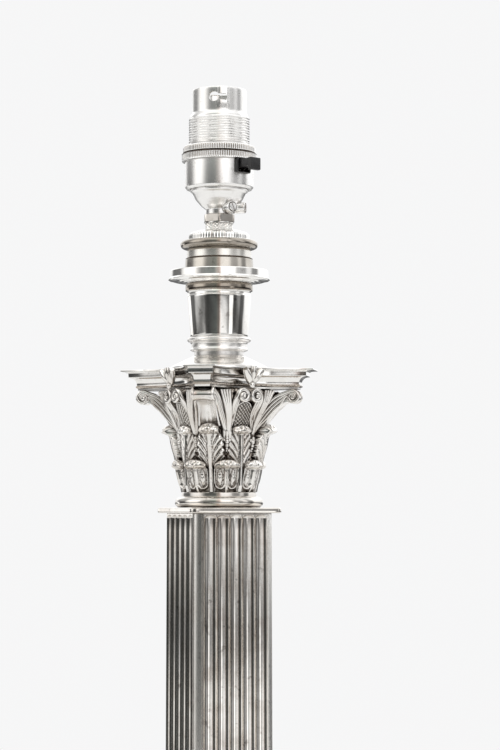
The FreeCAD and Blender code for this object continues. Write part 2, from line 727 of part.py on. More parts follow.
# cap: neck, dome, two bosses with their screws
cap = turned("holder_cap_turned", [
    ("in_low", 5.02, 135.2), ("neck_low", 6.3, 135.2), ("neck_high", 6.3, 138.0), ("dome_a", 8.6, 139.6),
    ("dome_b", 11.2, 142.6), ("dome_c", 12.4, 145.4), ("flange", 13.4, 146.0), ("flange_top", 13.4, 147.2),
    ("in_top", 12.2, 147.2), ("in_dome", 10.2, 142.8), ("in_neck", 7.4, 140.2), ("in_high", 5.02, 139.6)],
    z=deck, export=False)
boss_radius = dim("boss_radius", 2.7)
boss_parts, boss_bores = [cap], []
for i, (angle, reach, level, hole_r) in enumerate(((-78.0, 10.8, 138.2, 2.0), (-36.0, 12.5, 138.5, 1.5))):
    a = math.radians(angle)
    d_ = (math.cos(a), math.sin(a), 0)
    start = 6.6
    boss_parts.append(rod(f"boss_{i}", boss_radius, reach - start,
                          (start * d_[0], start * d_[1], deck + level), d_))
    boss_bores.append(rod(f"boss_bore_{i}", hole_r, 7.0,
                          (6.8 * d_[0], 6.8 * d_[1], deck + level), d_))
boss_bores.append(cylinder("cap_way", 5.02, deck + 130, deck + 139.6))
node(cut("holder_cap_cut", fuse("holder_cap_fused", boss_parts), fuse("boss_bores", boss_bores)), "holder_cap")

for i, (label, angle, level, low, high, r_out) in enumerate((
        ("cap_screw", -78.0, 138.2, 7.0, 11.3, 1.95), ("grub_screw", -36.0, 138.5, 7.0, 9.6, 1.45))):
    a = math.radians(angle)
    d_ = (math.cos(a), math.sin(a), 0)
    shank = rod(f"{label}_shank", r_out, high - low, (low * d_[0], low * d_[1], deck + level), d_)
    slot_box = box(f"{label}_slot", high - 0.7, -0.35, deck + level - 3, high + 1, 0.35, deck + level + 3)
    slot_box.Placement = Placement(Vector(0, 0, 0), Rotation(Vector(0, 0, 1), angle)).multiply(
        Placement(Vector(high - 0.7, -0.35, (deck + level - 3).v), Rotation()))
    for axis_ in "xyz":
        slot_box.setExpression(f"Placement.Base.{axis_}", None)
    node(cut(f"{label}_cut", shank, slot_box), label)

# skirt with its switch apertures
body = new_body("holder_skirt_body")
sk_pts = [("lip_in", 13.6, 147.0), ("lip_low", 15.2, 147.0), ("corner", 15.9, 147.8), ("side", 15.9, 161.3),
          ("top_in", 15.1, 161.3), ("side_in", 15.1, 148.0), ("lip_top", 13.6, 147.8)]
verts = [(dim(f"holder_skirt_{n_}_radius", r), dim(f"holder_skirt_{n_}_level", z)) for n_, r, z in sk_pts]
spin(body, outline(body, "holder_skirt_profile", verts))
aperture_half, aperture_low, aperture_high = dim("aperture_half", 3.5), dim("aperture_low", 153.5), dim("aperture_high", 159.8)
pocket(body, rect(body, "skirt_aperture", -aperture_half, aperture_low, aperture_half, aperture_high, "YZ_Plane"),
       40.0, middle=True)
place(body, 0, 0, deck, switch_angle)
node(body, "holder_skirt")

# barrel: plain bayonet mouth above, threaded sleeve below, flange at the foot
body = new_body("holder_barrel_body")
thread_radius = dim("thread_radius", 14.2)
bp = [("foot_in", 12.6, 161.4), ("flange", 15.7, 161.4), ("flange_top", 15.7, 162.4), ("sleeve_low", 14.15, 162.4),
      ("sleeve_top", 14.15, 167.5), ("groove_low", 13.7, 167.6), ("groove_high", 13.7, 167.9),
      ("thread_low", 14.2, 168.0), ("thread_top", 14.2, 180.1), ("shoulder", 12.7, 182.4),
      ("mouth_out", 12.7, 193.0), ("mouth_edge", 12.3, 193.5), ("mouth_in", 11.4, 193.5), ("socket_low", 11.4, 183.6),
      ("relief_top", 11.7, 183.6), ("relief_low", 11.7, 179.6), ("step", 12.6, 179.0)]
verts = [(dim(f"holder_barrel_{n_}_radius", r), dim(f"holder_barrel_{n_}_level", z)) for n_, r, z in bp]
spin(body, outline(body, "holder_barrel_profile", verts))
slot_level = dim("slot_level", 188.8)
slot_r = dim("slot_radius", 2.35)
pocket(body, circle(body, "barrel_seat", slot_r, 0, slot_level, "YZ_Plane"), 40.0, middle=True)
slot_run = dim("slot_run", 6.0)
pocket(body, rect(body, "barrel_slot_a", 0, slot_level - 1.9, slot_run, slot_level + 1.2, "YZ_Plane", 8.0), 8.0, reverse=True)
pocket(body, rect(body, "barrel_slot_b", -slot_run, slot_level - 1.9, 0, slot_level + 1.2, "YZ_Plane", -8.0), 8.0)
place(body, 0, 0, deck, slot_angle)
node(body, "holder_barrel")

turned("clamp_ring", [
    ("in_low", 16.0, 160.0), ("out_low", 17.2, 160.0), ("out_edge", 17.4, 160.3), ("out_high", 17.4, 163.3),
    ("top", 17.1, 163.6), ("in_high", 14.3, 163.6), ("seat_in", 14.3, 162.5), ("seat_out", 16.0, 162.5)], z=deck)
shade_travel = dim("shade_ring_travel", 12.5)
turned("shade_ring", [
    ("in_low", 14.25, 163.9), ("out_low", 16.6, 163.9), ("edge", 16.8, 164.2), ("side", 16.8, 166.0),
    ("shoulder", 16.0, 167.1), ("top", 15.0, 167.5), ("in_high", 14.25, 167.5)], z=deck)

# contact block with its plungers and springs
plunger_reach = dim("plunger_reach", 5.2)
body = new_body("contact_block_body")
cb = [("in_low", 0.0, 160.3), ("flange", 14.9, 160.3), ("flange_top", 14.9, 161.3), ("side_low", 12.4, 161.3),
      ("side", 12.4, 178.5), ("in_high", 0.0, 178.5)]
verts = [(0, dim("contact_block_low", 160.3))] + [
    (dim(f"contact_block_{n_}_radius", r), dim(f"contact_block_{n_}_level", z)) for n_, r, z in cb[1:-1]] + [
    (0, dim("contact_block_top", 178.5))]
spin(body, outline(body, "contact_block_profile", verts))
for side, sx in (("left", -1), ("right", 1)):
    pocket(body, circle(body, f"plunger_bore_{side}", dim("plunger_bore", 3.05), 0, plunger_reach * sx, height=dim("plunger_shoulder", 174.4)), 9.4)
    pocket(body, circle(body, f"plunger_mouth_{side}", dim("plunger_mouth", 2.45), 0, plunger_reach * sx, height=180.0), 8.0)
place(body, 0, 0, deck, slot_angle)
node(body, "contact_block")

sa = math.radians(slot_angle.v)
for side, sx in (("left", -1), ("right", 1)):
    px, py = -math.sin(sa) * plunger_reach.v * sx, math.cos(sa) * plunger_reach.v * sx
    body = new_body(f"plunger_{side}_body")
    spin(body, outline(body, f"plunger_{side}_profile", [
        (0, dim("plunger_low", 171.8)), (dim("plunger_flange_radius", 3.0), dim("plunger_low", 171.8)),
        (dim("plunger_flange_radius", 3.0), dim("plunger_flange_top", 174.3)),
        (dim("plunger_stem_radius", 2.4), dim("plunger_flange_top", 174.3)),
        (dim("plunger_stem_radius", 2.4), dim("plunger_side_top", 182.2)),
        (dim("plunger_tip_radius", 1.3), dim("plunger_tip", 183.2)), (0, dim("plunger_tip", 183.2))]))
    place(body, px, py, deck)
    node(body, f"contact_plunger_{side}")
    sections = []
    for k in range(68):
        t = 2 * math.pi * (6.0 / 1.25) * k / 67
        centre = Vector(2.3 * math.cos(t), 2.3 * math.sin(t), 1.25 * t / (2 * math.pi))
        along = Vector(-2.3 * math.sin(t), 2.3 * math.cos(t), 1.25 / (2 * math.pi)).normalize()
        out = Vector(math.cos(t), math.sin(t), 0)
        up = along.cross(out) * -1
        ring = [centre + out * (0.3 * math.cos(q)) + up * (0.3 * math.sin(q)) for q in [math.pi * j / 4 for j in range(8)]]
        sections.append(Part.makePolygon(ring + [ring[0]]))
    coil = Part.makeLoft(sections, True, True)
    coil.translate(Vector(px, py, deck.v + 165.4))
    f = doc.addObject("Part::Feature", f"plunger_spring_{side}_coil")
    f.Shape = coil
    node(f, f"plunger_spring_{side}")

# terminals under the block, with their screws, at right angles to the switch bar
ta = math.radians(switch_angle.v + 90)
term_low, term_high = dim("terminal_low", 150.5), dim("terminal_high", 160.28)
terms, screws = [], []
for sgn in (-1, 1):
    t0 = Part.makeBox(4.4, 4.4, term_high.v - term_low.v, Vector(-2.2, -2.2, 0))
    t0 = t0.cut(Part.makeCylinder(1.55, 10, Vector(-5, 0, 2.8), Vector(1, 0, 0)))
    s0 = Part.makeCylinder(1.5, 3.6, Vector(-1.2, 0, 2.8), Vector(1, 0, 0)).fuse(
        Part.makeCylinder(2.1, 1.6, Vector(2.3, 0, 2.8), Vector(1, 0, 0)))
    s0 = s0.cut(Part.makeBox(1.2, 0.6, 6, Vector(3.2, -0.3, 0)))
    for shape, out in ((t0, terms), (s0, screws)):
        c = shape.copy()
        deg = math.degrees(ta) + (0 if sgn > 0 else 180)
        c.Placement = Placement(
            Vector(8.6 * math.cos(math.radians(deg)), 8.6 * math.sin(math.radians(deg)), deck.v + term_low.v),
            Rotation(Vector(0, 0, 1), deg))
        out.append(c)
group("terminals", Part.makeCompound([x for t_ in terms for x in t_.Solids]))
group("terminal_screws", Part.makeCompound([x for t_ in screws for x in t_.Solids]))

# switch: two surrounds in the skirt, one push bar through both, its contact
bezels = []
for sx in (0, 180):
    b0 = Part.makeBox(3.0, 8.4, 6.7, Vector(14.6, -4.2, 153.2)).cut(Part.makeBox(6.0, 6.5, 6.0, Vector(14.0, -3.25, 153.65)))
    ring0 = Part.makeCylinder(15.92, 20, Vector(0, 0, 148)).cut(Part.makeCylinder(10, 20, Vector(0, 0, 148)))
    plug0 = Part.makeBox(3.0, 6.9, 6.2, Vector(14.6, -3.45, 153.55)).cut(Part.makeBox(6.0, 6.5, 6.0, Vector(14.0, -3.25, 153.65)))
    b0 = b0.cut(ring0).fuse(plug0.common(ring0)).removeSplitter()
    b0.Placement = Placement(Vector(0, 0, deck.v), Rotation(Vector(0, 0, 1), switch_angle.v + sx))
    bezels += b0.Solids
group("switch_surrounds", Part.makeCompound(bezels))

switch_travel = dim("switch_travel", 5.5)
bar_low, bar_high = dim("switch_bar_low", 155.7), dim("switch_bar_high", 159.35)
body = new_body("switch_bar_body")
pad(body, rect(body, "bar_stem", -dim("bar_near_end", 17.9), -dim("bar_stem_half", 2.6), dim("bar_far_end", 23.4),
               dim("bar_stem_half", 2.6), height=bar_low), bar_high - bar_low)
pad(body, rect(body, "bar_pad_out", dim("bar_far_end", 23.4), -dim("bar_pad_half", 2.95), dim("bar_tip", 25.7),
               dim("bar_pad_half", 2.95), height=dim("bar_pad_low", 153.85)), dim("bar_pad_high", 159.45) - dim("bar_pad_low", 153.85))
pad(body, rect(body, "bar_pad_back", -dim("bar_back_tip", 20.2), -dim("bar_pad_half", 2.95), -dim("bar_near_end", 17.9),
               dim("bar_pad_half", 2.95), height=dim("bar_pad_low", 153.85)), dim("bar_pad_high", 159.45) - dim("bar_pad_low", 153.85))
place(body, 0, 0, deck, switch_angle)
node(body, "switch_bar")
body = new_body("switch_contact_body")
pad(body, rect(body, "switch_contact_strip", -dim("switch_contact_reach", 6.0), -2.0, dim("switch_contact_reach", 6.0), 2.0,
               height=bar_high + 0.02), 0.4)
place(body, 0, 0, deck, switch_angle)
node(body, "switch_contact")

doc.recompute()
failed = [f"{o.Label}: {o.State}" for o in doc.Objects
          if any(w in ("Invalid", "Error") for w in (o.State or []))]
if failed:
    raise SystemExit("\n".join(failed))

# ---- groups that need finished shapes ---------------------------------------
angles4 = (0, 90, 180, 270)
group("base_screws", around(one.Shape, angles4))
group("centring_discs", Part.makeCompound([
    s_ for z_ in (shaft_bottom.v + 0.02, plate_low.v - 2.02)
    for c in [disc.Shape.copy()] for _ in [c.translate(Vector(0, 0, z_))] for s_ in c.Solids]))

turn0 = capital_turn.v
bell = [n_ for n_ in nodes if n_.Label == "capital_bell"][0].Shape
volute_shape = volutes.Shape
face_shape = [n_ for n_ in nodes if n_.Label == "face_leaves"][0].Shape

# inner scrolls: a rod that climbs from the stalk to a small roll near the face's middle
helix_out = []
for k in range(4):
    for sgn in (-1, 1):
        def at(radius, off, level):
            a = math.radians(turn0 + 90 * k + sgn * off)
            return Vector(radius * math.cos(a), radius * math.sin(a), deck.v + level)
        a0, a1 = at(19.6, 20.0, 40.0), at(23.6, 11.5, 49.6)
        arm = Part.makeCylinder(1.1, (a1 - a0).Length, a0, a1 - a0)
        eye = at(22.6, 7.4, 51.2)
        mid = Vector(math.cos(math.radians(turn0 + 90 * k)), math.sin(math.radians(turn0 + 90 * k)), 0)
        roll_ = Part.makeCylinder(2.2, 2.6, eye, mid)
        s_ = arm.fuse(roll_).cut(bell).cut(volute_shape).cut(face_shape)
        best = max(s_.Solids, key=lambda t_: t_.Volume)
        helix_out.append(best)
group("inner_scrolls", Part.makeCompound(helix_out))

# shields: low rounded panels on the bell above the face leaves
shield_out = []
for k in range(4):
    a = math.radians(turn0 + 90 * k)
    d_ = Vector(math.cos(a), math.sin(a), 0)
    disc_ = Part.makeCylinder(4.6, 8.0, d_ * 14.0 + Vector(0, 0, deck.v + 43.2), d_)
    skin_out = Part.makeCone(17.1, 21.9, 13.0, Vector(0, 0, deck.v + 37.3))
    s_ = disc_.common(skin_out).cut(bell)
    s_ = s_.cut(Part.makeCylinder(14.6, 60, Vector(0, 0, deck.v)))
    for other in helix_out:
        s_ = s_.cut(other)
    s_ = s_.cut(face_shape)
    shield_out.append(max(s_.Solids, key=lambda t_: t_.Volume))
group("shields", Part.makeCompound(shield_out))

# berry drops between the upper leaves, above the lower leaves
drop_out = []
for k in range(8):
    a = math.radians(turn0 + 22.5 + 45 * k)
    c = Vector(18.2 * math.cos(a), 18.2 * math.sin(a), deck.v)
    stack = Part.makeSphere(1.35, c + Vector(0, 0, 31.4)).fuse(Part.makeSphere(1.1, c + Vector(0, 0, 29.4))).fuse(
        Part.makeSphere(0.8, c + Vector(0, 0, 27.8)))
    stack = stack.cut(bell)
    drop_out.append(max(stack.Solids, key=lambda t_: t_.Volume))
group("berry_drops", Part.makeCompound(drop_out))

# fleurons: a bead and upright petals on the middle of each side of the abacus
abacus_shape = [n_ for n_ in nodes if n_.Label == "abacus"][0].Shape
flower_out = []
for k in range(4):
    a = turn0 + 90 * k
    petals = Part.makeBox(5.0, 7.0, 8.6, Vector(24.4, -3.5, 55.6))
    bead = Part.makeSphere(1.5, Vector(27.0, 0, 55.2))
    s_ = petals.fuse(bead)
    s_.Placement = Placement(Vector(0, 0, deck.v), Rotation(Vector(0, 0, 1), a))
    s_ = s_.cut(abacus_shape)
    flower_out.append(max(s_.Solids, key=lambda t_: t_.Volume))
group("fleurons", Part.makeCompound(flower_out))

doc.recompute()

# ---- check and write --------------------------------------------------------
bad = [f"{o.Label}: {o.State}" for o in doc.Objects
       if any(w in ("Invalid", "Error") for w in (o.State or []))]
for n_ in nodes:
    if n_.Shape.isNull() or not n_.Shape.isValid() or not n_.Shape.Solids:
        bad.append(f"{n_.Label}: no valid solid")
labels = [n_.Label for n_ in nodes]
if len(set(labels)) != len(labels):
    bad.append("two sub-parts share a label")
if bad:
    raise SystemExit("\n".join(bad))

os.makedirs("parts", exist_ok=True)
for old in os.listdir("parts"):
    if old.endswith(".step") and old[:-5] not in labels:
        os.remove(os.path.join("parts", old))
for n_ in nodes:
    n_.Shape.exportStep(f"parts/{n_.Label}.step")
    print(f"{n_.Label}: {len(n_.Shape.Solids)} solids, {n_.Shape.Volume / 1000:.2f} cm3")
print(len(nodes), "nodes")
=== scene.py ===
import json
import math
import bpy
import bmesh
import numpy as np
from mathutils import Vector, Matrix


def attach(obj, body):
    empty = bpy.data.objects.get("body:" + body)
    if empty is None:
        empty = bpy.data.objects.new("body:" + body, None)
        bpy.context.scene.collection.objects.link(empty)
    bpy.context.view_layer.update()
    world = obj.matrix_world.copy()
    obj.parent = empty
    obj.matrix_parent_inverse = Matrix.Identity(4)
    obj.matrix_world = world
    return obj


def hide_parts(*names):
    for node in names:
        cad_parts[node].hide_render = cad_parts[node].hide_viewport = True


# Corinthian column table lamp. Lengths below are millimetres in the row frame
# and become metres when a mesh is made. DECK is the top of the necking plate.
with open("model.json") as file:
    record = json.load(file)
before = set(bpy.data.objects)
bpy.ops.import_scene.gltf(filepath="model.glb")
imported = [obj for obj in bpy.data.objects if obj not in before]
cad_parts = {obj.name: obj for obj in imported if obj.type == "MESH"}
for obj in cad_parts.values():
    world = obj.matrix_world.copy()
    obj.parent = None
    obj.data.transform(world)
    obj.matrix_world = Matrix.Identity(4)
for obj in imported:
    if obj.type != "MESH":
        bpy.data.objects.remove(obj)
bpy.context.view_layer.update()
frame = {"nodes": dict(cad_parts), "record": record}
DECK = 324.5
TURN = 10.5                      # the capital sits turned on the column
rng = np.random.default_rng(7)
rad = math.radians


# ---- materials --------------------------------------------------------------
def material(name):
    m = bpy.data.materials.new(name)
    m.use_nodes = True
    m.node_tree.nodes.clear()
    return m, m.node_tree


def add(t, kind, **values):
    n = t.nodes.new(kind)
    for k, v in values.items():
        if hasattr(n, k):
            setattr(n, k, v)
        else:
            n.inputs[k].default_value = v
    return n


def ramp(t, fac, stops, mode="LINEAR"):
    r = t.nodes.new("ShaderNodeValToRGB")
    r.color_ramp.interpolation = mode
    e = r.color_ramp.elements
    while len(e) < len(stops):
        e.new(0.5)
    for s, (p, c) in zip(e, stops):
        s.position = p
        s.color = (c, c, c, 1) if isinstance(c, (int, float)) else (*c, 1)
    if fac is not None:
        t.links.new(fac, r.inputs[0])
    return r.outputs[0]


def noise(t, vec, scale, detail=4.0, rough=0.55, distort=0.0):
    n = t.nodes.new("ShaderNodeTexNoise")
    n.inputs["Scale"].default_value = scale
    n.inputs["Detail"].default_value = detail
    n.inputs["Roughness"].default_value = rough
    n.inputs["Distortion"].default_value = distort
    t.links.new(vec, n.inputs["Vector"])
    return n.outputs["Fac"]


def stretched(t, coord, scale):
    m = t.nodes.new("ShaderNodeMapping")
    m.inputs["Scale"].default_value = scale
    t.links.new(coord, m.inputs["Vector"])
    return m.outputs["Vector"]


def mixed(t, fac, a, b):
    m = t.nodes.new("ShaderNodeMix")
    m.data_type = "RGBA"
    for s, v in ((m.inputs[6], a), (m.inputs[7], b)):
        if isinstance(v, tuple):
            s.default_value = (*v, 1)
        else:
            t.links.new(v, s)
    if isinstance(fac, (int, float)):
        m.inputs[0].default_value = fac
    else:
        t.links.new(fac, m.inputs[0])
    return m.outputs[2]


def calc(t, op, a, b=None, clamp=False):
    m = t.nodes.new("ShaderNodeMath")
    m.operation = op
    m.use_clamp = clamp
    for s, v in ((m.inputs[0], a), (m.inputs[1], b)):
        if v is None:
            continue
        if isinstance(v, (int, float)):
            s.default_value = v
        else:
            t.links.new(v, s)
    return m.outputs[0]


def metal(name, clean, dull, patina_and_shade, rough, rough_spread, wear=0.5, crevice=0.0, grain=0.0, depth=2.0,
          bump=0.06, streak=0.0, pale=None):
    """Plated metal: clean colour, dulled patches, dark patina in the hollows, deepened there with painted shade."""
    m, t = material(name)
    out = add(t, "ShaderNodeOutputMaterial")
    b = add(t, "ShaderNodeBsdfPrincipled")
    b.inputs["Metallic"].default_value = 1.0
    t.links.new(b.outputs[0], out.inputs[0])
    co = add(t, "ShaderNodeTexCoord").outputs["Object"]
    cloud = noise(t, co, 70.0, 5.0, 0.6, 0.3)
    fine = noise(t, co, 900.0, 3.0, 0.6)
    spots = noise(t, co, 260.0, 2.0, 0.5)
    colour = mixed(t, calc(t, "MULTIPLY", ramp(t, cloud, [(0.42, 0.0), (0.68, 1.0)]), wear), clean, dull)
    speck = calc(t, "MULTIPLY", ramp(t, spots, [(0.64, 0.0), (0.74, 1.0)]), wear * 0.6)
    colour = mixed(t, speck, colour, patina_and_shade)
    if pale:
        runs = noise(t, stretched(t, co, (190.0, 190.0, 26.0)), 1.0, 5.0, 0.62, 0.5)
        colour = mixed(t, ramp(t, runs, [(0.56, 0.0), (0.66, 0.85)]), colour, pale)
    rough_v = calc(t, "MULTIPLY_ADD", cloud, rough_spread)
    t.nodes[-1].inputs[2].default_value = rough - rough_spread * 0.5
    # crevice: ambient occlusion darkens the hollows towards the patina colour, partly real patina and partly painted
    # shade
    if crevice:
        ao = add(t, "ShaderNodeAmbientOcclusion")
        ao.samples = 6
        ao.only_local = False
        ao.inputs["Distance"].default_value = depth / 1000
        dark = ramp(t, ao.outputs["AO"], [(0.22, 1.0), (0.55, 0.55), (0.88, 0.0)])
        dark = calc(t, "MULTIPLY", dark, crevice)
        dark = calc(t, "MULTIPLY", dark, ramp(t, spots, [(0.30, 0.75), (0.60, 1.0)]))
        colour = mixed(t, dark, colour, patina_and_shade)
        rough_v = calc(t, "ADD", rough_v, calc(t, "MULTIPLY", dark, 0.28), clamp=True)
    if streak:
        lines = noise(t, stretched(t, co, (60.0, 60.0, 2600.0)), 1.0, 2.0, 0.5)
        rough_v = calc(t, "ADD", rough_v, calc(t, "MULTIPLY", lines, streak), clamp=True)
    t.links.new(colour, b.inputs["Base Color"])
    t.links.new(rough_v, b.inputs["Roughness"])
    bm = add(t, "ShaderNodeBump")
    bm.inputs["Strength"].default_value = bump
    bm.inputs["Distance"].default_value = 0.0002
    if grain:
        lines = noise(t, stretched(t, co, (140.0, 140.0, 5200.0)), 1.0, 2.0, 0.6)
        t.links.new(calc(t, "ADD", calc(t, "MULTIPLY", lines, grain), fine), bm.inputs["Height"])
    else:
        t.links.new(calc(t, "ADD", calc(t, "MULTIPLY", fine, 0.25), cloud), bm.inputs["Height"])
    t.links.new(bm.outputs[0], b.inputs["Normal"])
    return m


def plain(name, a, b_, rough, spread, scale=300.0, bump=0.15, metallic=0.0, sheen=0.0):
    """Moulded, cast or woven surface with mottled colour, gloss and grain."""
    m, t = material(name)
    out = add(t, "ShaderNodeOutputMaterial")
    b = add(t, "ShaderNodeBsdfPrincipled")
    b.inputs["Metallic"].default_value = metallic
    if sheen:
        b.inputs["Sheen Weight"].default_value = sheen
    t.links.new(b.outputs[0], out.inputs[0])
    co = add(t, "ShaderNodeTexCoord").outputs["Object"]
    cloud = noise(t, co, scale * 0.3, 4.0, 0.6)
    fine = noise(t, co, scale * 4, 3.0, 0.6)
    t.links.new(mixed(t, ramp(t, cloud, [(0.35, 0.0), (0.7, 1.0)]), a, b_), b.inputs["Base Color"])
    r = calc(t, "MULTIPLY_ADD", fine, spread)
    t.nodes[-1].inputs[2].default_value = rough - spread * 0.5
    t.links.new(r, b.inputs["Roughness"])
    bm = add(t, "ShaderNodeBump")
    bm.inputs["Strength"].default_value = bump
    bm.inputs["Distance"].default_value = 0.0003
    t.links.new(fine, bm.inputs["Height"])
    t.links.new(bm.outputs[0], b.inputs["Normal"])
    return m


# crevice and depth set how far each metal's hollows are darkened: patina and painted shade
SILVER = metal("silver_plate", (0.93, 0.915, 0.89), (0.80, 0.77, 0.73), (0.16, 0.125, 0.10), 0.075, 0.06,
               wear=0.35, crevice=0.9, depth=3.0, bump=0.03)
RELIEF = metal("silver_relief", (0.91, 0.885, 0.85), (0.66, 0.605, 0.55), (0.085, 0.062, 0.048), 0.11, 0.08,
               wear=0.8, crevice=1.0, depth=4.4, bump=0.03)
SHAFT = metal("silver_shaft", (0.80, 0.77, 0.73), (0.55, 0.50, 0.455), (0.10, 0.077, 0.06), 0.085, 0.06,
              wear=0.85, crevice=0.6, depth=1.8, bump=0.03, pale=(0.95, 0.93, 0.90))
# a rougher, lighter copy of the shaft metal for the cut corners; its lighter colour is painted highlight
LIT_CORNER = metal("lit_corner_copy", (0.88, 0.86, 0.825), (0.66, 0.625, 0.58), (0.11, 0.085, 0.068), 0.21, 0.09,
               wear=0.6, crevice=0.6, depth=1.4, bump=0.03)
GROUND = metal("relief_ground", (0.66, 0.60, 0.54), (0.42, 0.36, 0.30), (0.065, 0.047, 0.036), 0.14, 0.10,
               wear=0.8, crevice=1.0, depth=3.4, bump=0.05)
TARNISH = metal("tarnished_line", (0.50, 0.455, 0.40), (0.25, 0.22, 0.185), (0.06, 0.045, 0.036), 0.14, 0.10,
                wear=0.8, bump=0.05)
LATTICE = metal("shield_lattice", (0.90, 0.87, 0.83), (0.66, 0.61, 0.55), (0.06, 0.042, 0.032), 0.15, 0.08,
                wear=0.6, crevice=1.0, depth=1.1, bump=0.03)
# near-black metal painted into the gaps between parts and into holes: painted shade
RECESS_SHADE = metal("painted_recess_shade", (0.115, 0.088, 0.068), (0.07, 0.052, 0.04), (0.03, 0.022, 0.016), 0.42, 0.08,
              wear=0.6, bump=0.03)
DUSK = metal("darker_cup_rim", (0.40, 0.355, 0.305), (0.19, 0.16, 0.13), (0.05, 0.038, 0.03), 0.11, 0.08,
             wear=0.8, bump=0.04)
# darker metal for the knurl grooves: painted shade
GROOVE_SHADE = metal("painted_knurl_groove_shade", (0.52, 0.475, 0.42), (0.33, 0.29, 0.25), (0.08, 0.062, 0.05), 0.3, 0.08,
               wear=0.5, bump=0.02)
NECK = metal("bright_beading", (0.96, 0.95, 0.93), (0.86, 0.83, 0.79), (0.30, 0.25, 0.21), 0.12, 0.06,
             wear=0.25, crevice=0.35, depth=0.8, bump=0.02)
TURNED = metal("silver_turned", (0.93, 0.915, 0.89), (0.83, 0.80, 0.76), (0.14, 0.11, 0.09), 0.10, 0.07,
               wear=0.45, crevice=0.75, depth=2.0, bump=0.03, pale=(0.97, 0.96, 0.94))
PLATE = metal("nickel_bright", (0.90, 0.885, 0.86), (0.74, 0.71, 0.67), (0.12, 0.095, 0.08), 0.13, 0.07,
              wear=0.35, crevice=0.7, depth=1.6, bump=0.03)
SATIN = metal("nickel_satin", (0.95, 0.938, 0.922), (0.84, 0.82, 0.795), (0.26, 0.215, 0.18), 0.27, 0.08,
              wear=0.45, crevice=0.42, depth=1.1, grain=0.25, bump=0.03)
KNURL = metal("nickel_knurl", (0.97, 0.96, 0.95), (0.86, 0.84, 0.815), (0.15, 0.12, 0.10), 0.24, 0.08,
              wear=0.4, crevice=0.95, depth=0.55, bump=0.03)
STEM = metal("silver_soft", (0.95, 0.93, 0.905), (0.84, 0.80, 0.76), (0.16, 0.12, 0.095), 0.27, 0.10,
             wear=0.4, crevice=0.8, depth=1.6, bump=0.03)
RING = metal("tarnished_ring", (0.78, 0.745, 0.70), (0.52, 0.475, 0.425), (0.12, 0.095, 0.075), 0.085, 0.06,
             wear=0.75, crevice=0.6, depth=1.6, bump=0.04)
CUP = metal("silver_cup", (0.90, 0.885, 0.86), (0.62, 0.59, 0.55), (0.14, 0.11, 0.09), 0.06, 0.05,
            wear=0.7, crevice=0.75, depth=2.0, bump=0.03)
COLLAR = metal("nickel_soft", (0.86, 0.835, 0.79), (0.66, 0.62, 0.56), (0.14, 0.11, 0.09), 0.27, 0.08,
               wear=0.5, crevice=0.7, depth=1.4, bump=0.03)
WARM = metal("worn_bung_metal", (0.56, 0.525, 0.475), (0.34, 0.31, 0.27), (0.10, 0.07, 0.05), 0.15, 0.08,
             wear=0.8, crevice=0.6, depth=1.6, bump=0.05)
BRASS = metal("turned_brass", (0.80, 0.62, 0.30), (0.62, 0.45, 0.20), (0.20, 0.12, 0.05), 0.22, 0.12,
              wear=0.5, crevice=0.4, depth=1.2, bump=0.05)
ZINC = metal("zinc_steel", (0.64, 0.64, 0.63), (0.50, 0.49, 0.47), (0.22, 0.20, 0.18), 0.36, 0.16, wear=0.6, bump=0.08)
BLACK = plain("black_moulding", (0.012, 0.012, 0.013), (0.024, 0.023, 0.023), 0.38, 0.18, 350.0, 0.10)
CREAM = plain("cream_insulator", (0.80, 0.77, 0.69), (0.70, 0.66, 0.57), 0.30, 0.14, 250.0, 0.08)
IRON = plain("cast_iron", (0.05, 0.048, 0.046), (0.11, 0.10, 0.092), 0.62, 0.25, 160.0, 0.5, metallic=0.7)
BAIZE = plain("green_baize", (0.015, 0.085, 0.038), (0.03, 0.14, 0.06), 0.92, 0.10, 700.0, 0.7, sheen=0.5)

LOOK = {"silver": SILVER, "nickel_plate": PLATE, "satin_nickel": SATIN, "bung_metal": WARM, "black_plastic": BLACK,
        "insulator": CREAM, "brass": BRASS, "spring_steel": ZINC, "zinc_steel": ZINC, "cast_iron": IRON,
        "baize": BAIZE, "bush_plastic": BLACK}
slot_of = {s["node"]: s["material_slot"] for s in frame["record"]["subparts"]}
for node_name, node_obj in frame["nodes"].items():
    node_obj.data.materials.clear()
    node_obj.data.materials.append(LOOK[slot_of[node_name]])
    for poly in node_obj.data.polygons:
        poly.material_index = 0


# ---- mesh tools -------------------------------------------------------------
def make(name, verts, faces, mat, nodes=(), body="lamp", angle=34.0, fix=True):
    me = bpy.data.meshes.new(name)
    me.from_pydata((np.asarray(verts, float) / 1000.0).tolist(), [], [list(map(int, f)) for f in faces])
    if fix:
        bm = bmesh.new()
        bm.from_mesh(me)
        bmesh.ops.remove_doubles(bm, verts=bm.verts, dist=1e-7)
        bmesh.ops.recalc_face_normals(bm, faces=bm.faces)
        bm.to_mesh(me)
        bm.free()
    me.polygons.foreach_set("use_smooth", [True] * len(me.polygons))
    me.set_sharp_from_angle(angle=rad(angle))
    me.update()
    o = bpy.data.objects.new(name, me)
    bpy.context.scene.collection.objects.link(o)
    me.materials.append(mat)
    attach(o, body)
    if nodes:
        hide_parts(*nodes)
    return o


def grid(nu, nv, wrap_u=False, wrap_v=False, flip=False, start=0):
    """Quads over nu x nv points stored row by row (u outer)."""
    out = []
    for i in range(nu if wrap_u else nu - 1):
        i2 = (i + 1) % nu
        for j in range(nv if wrap_v else nv - 1):
            j2 = (j + 1) % nv
            q = (start + i * nv + j, start + i2 * nv + j, start + i2 * nv + j2, start + i * nv + j2)
            out.append(q[::-1] if flip else q)
    return out


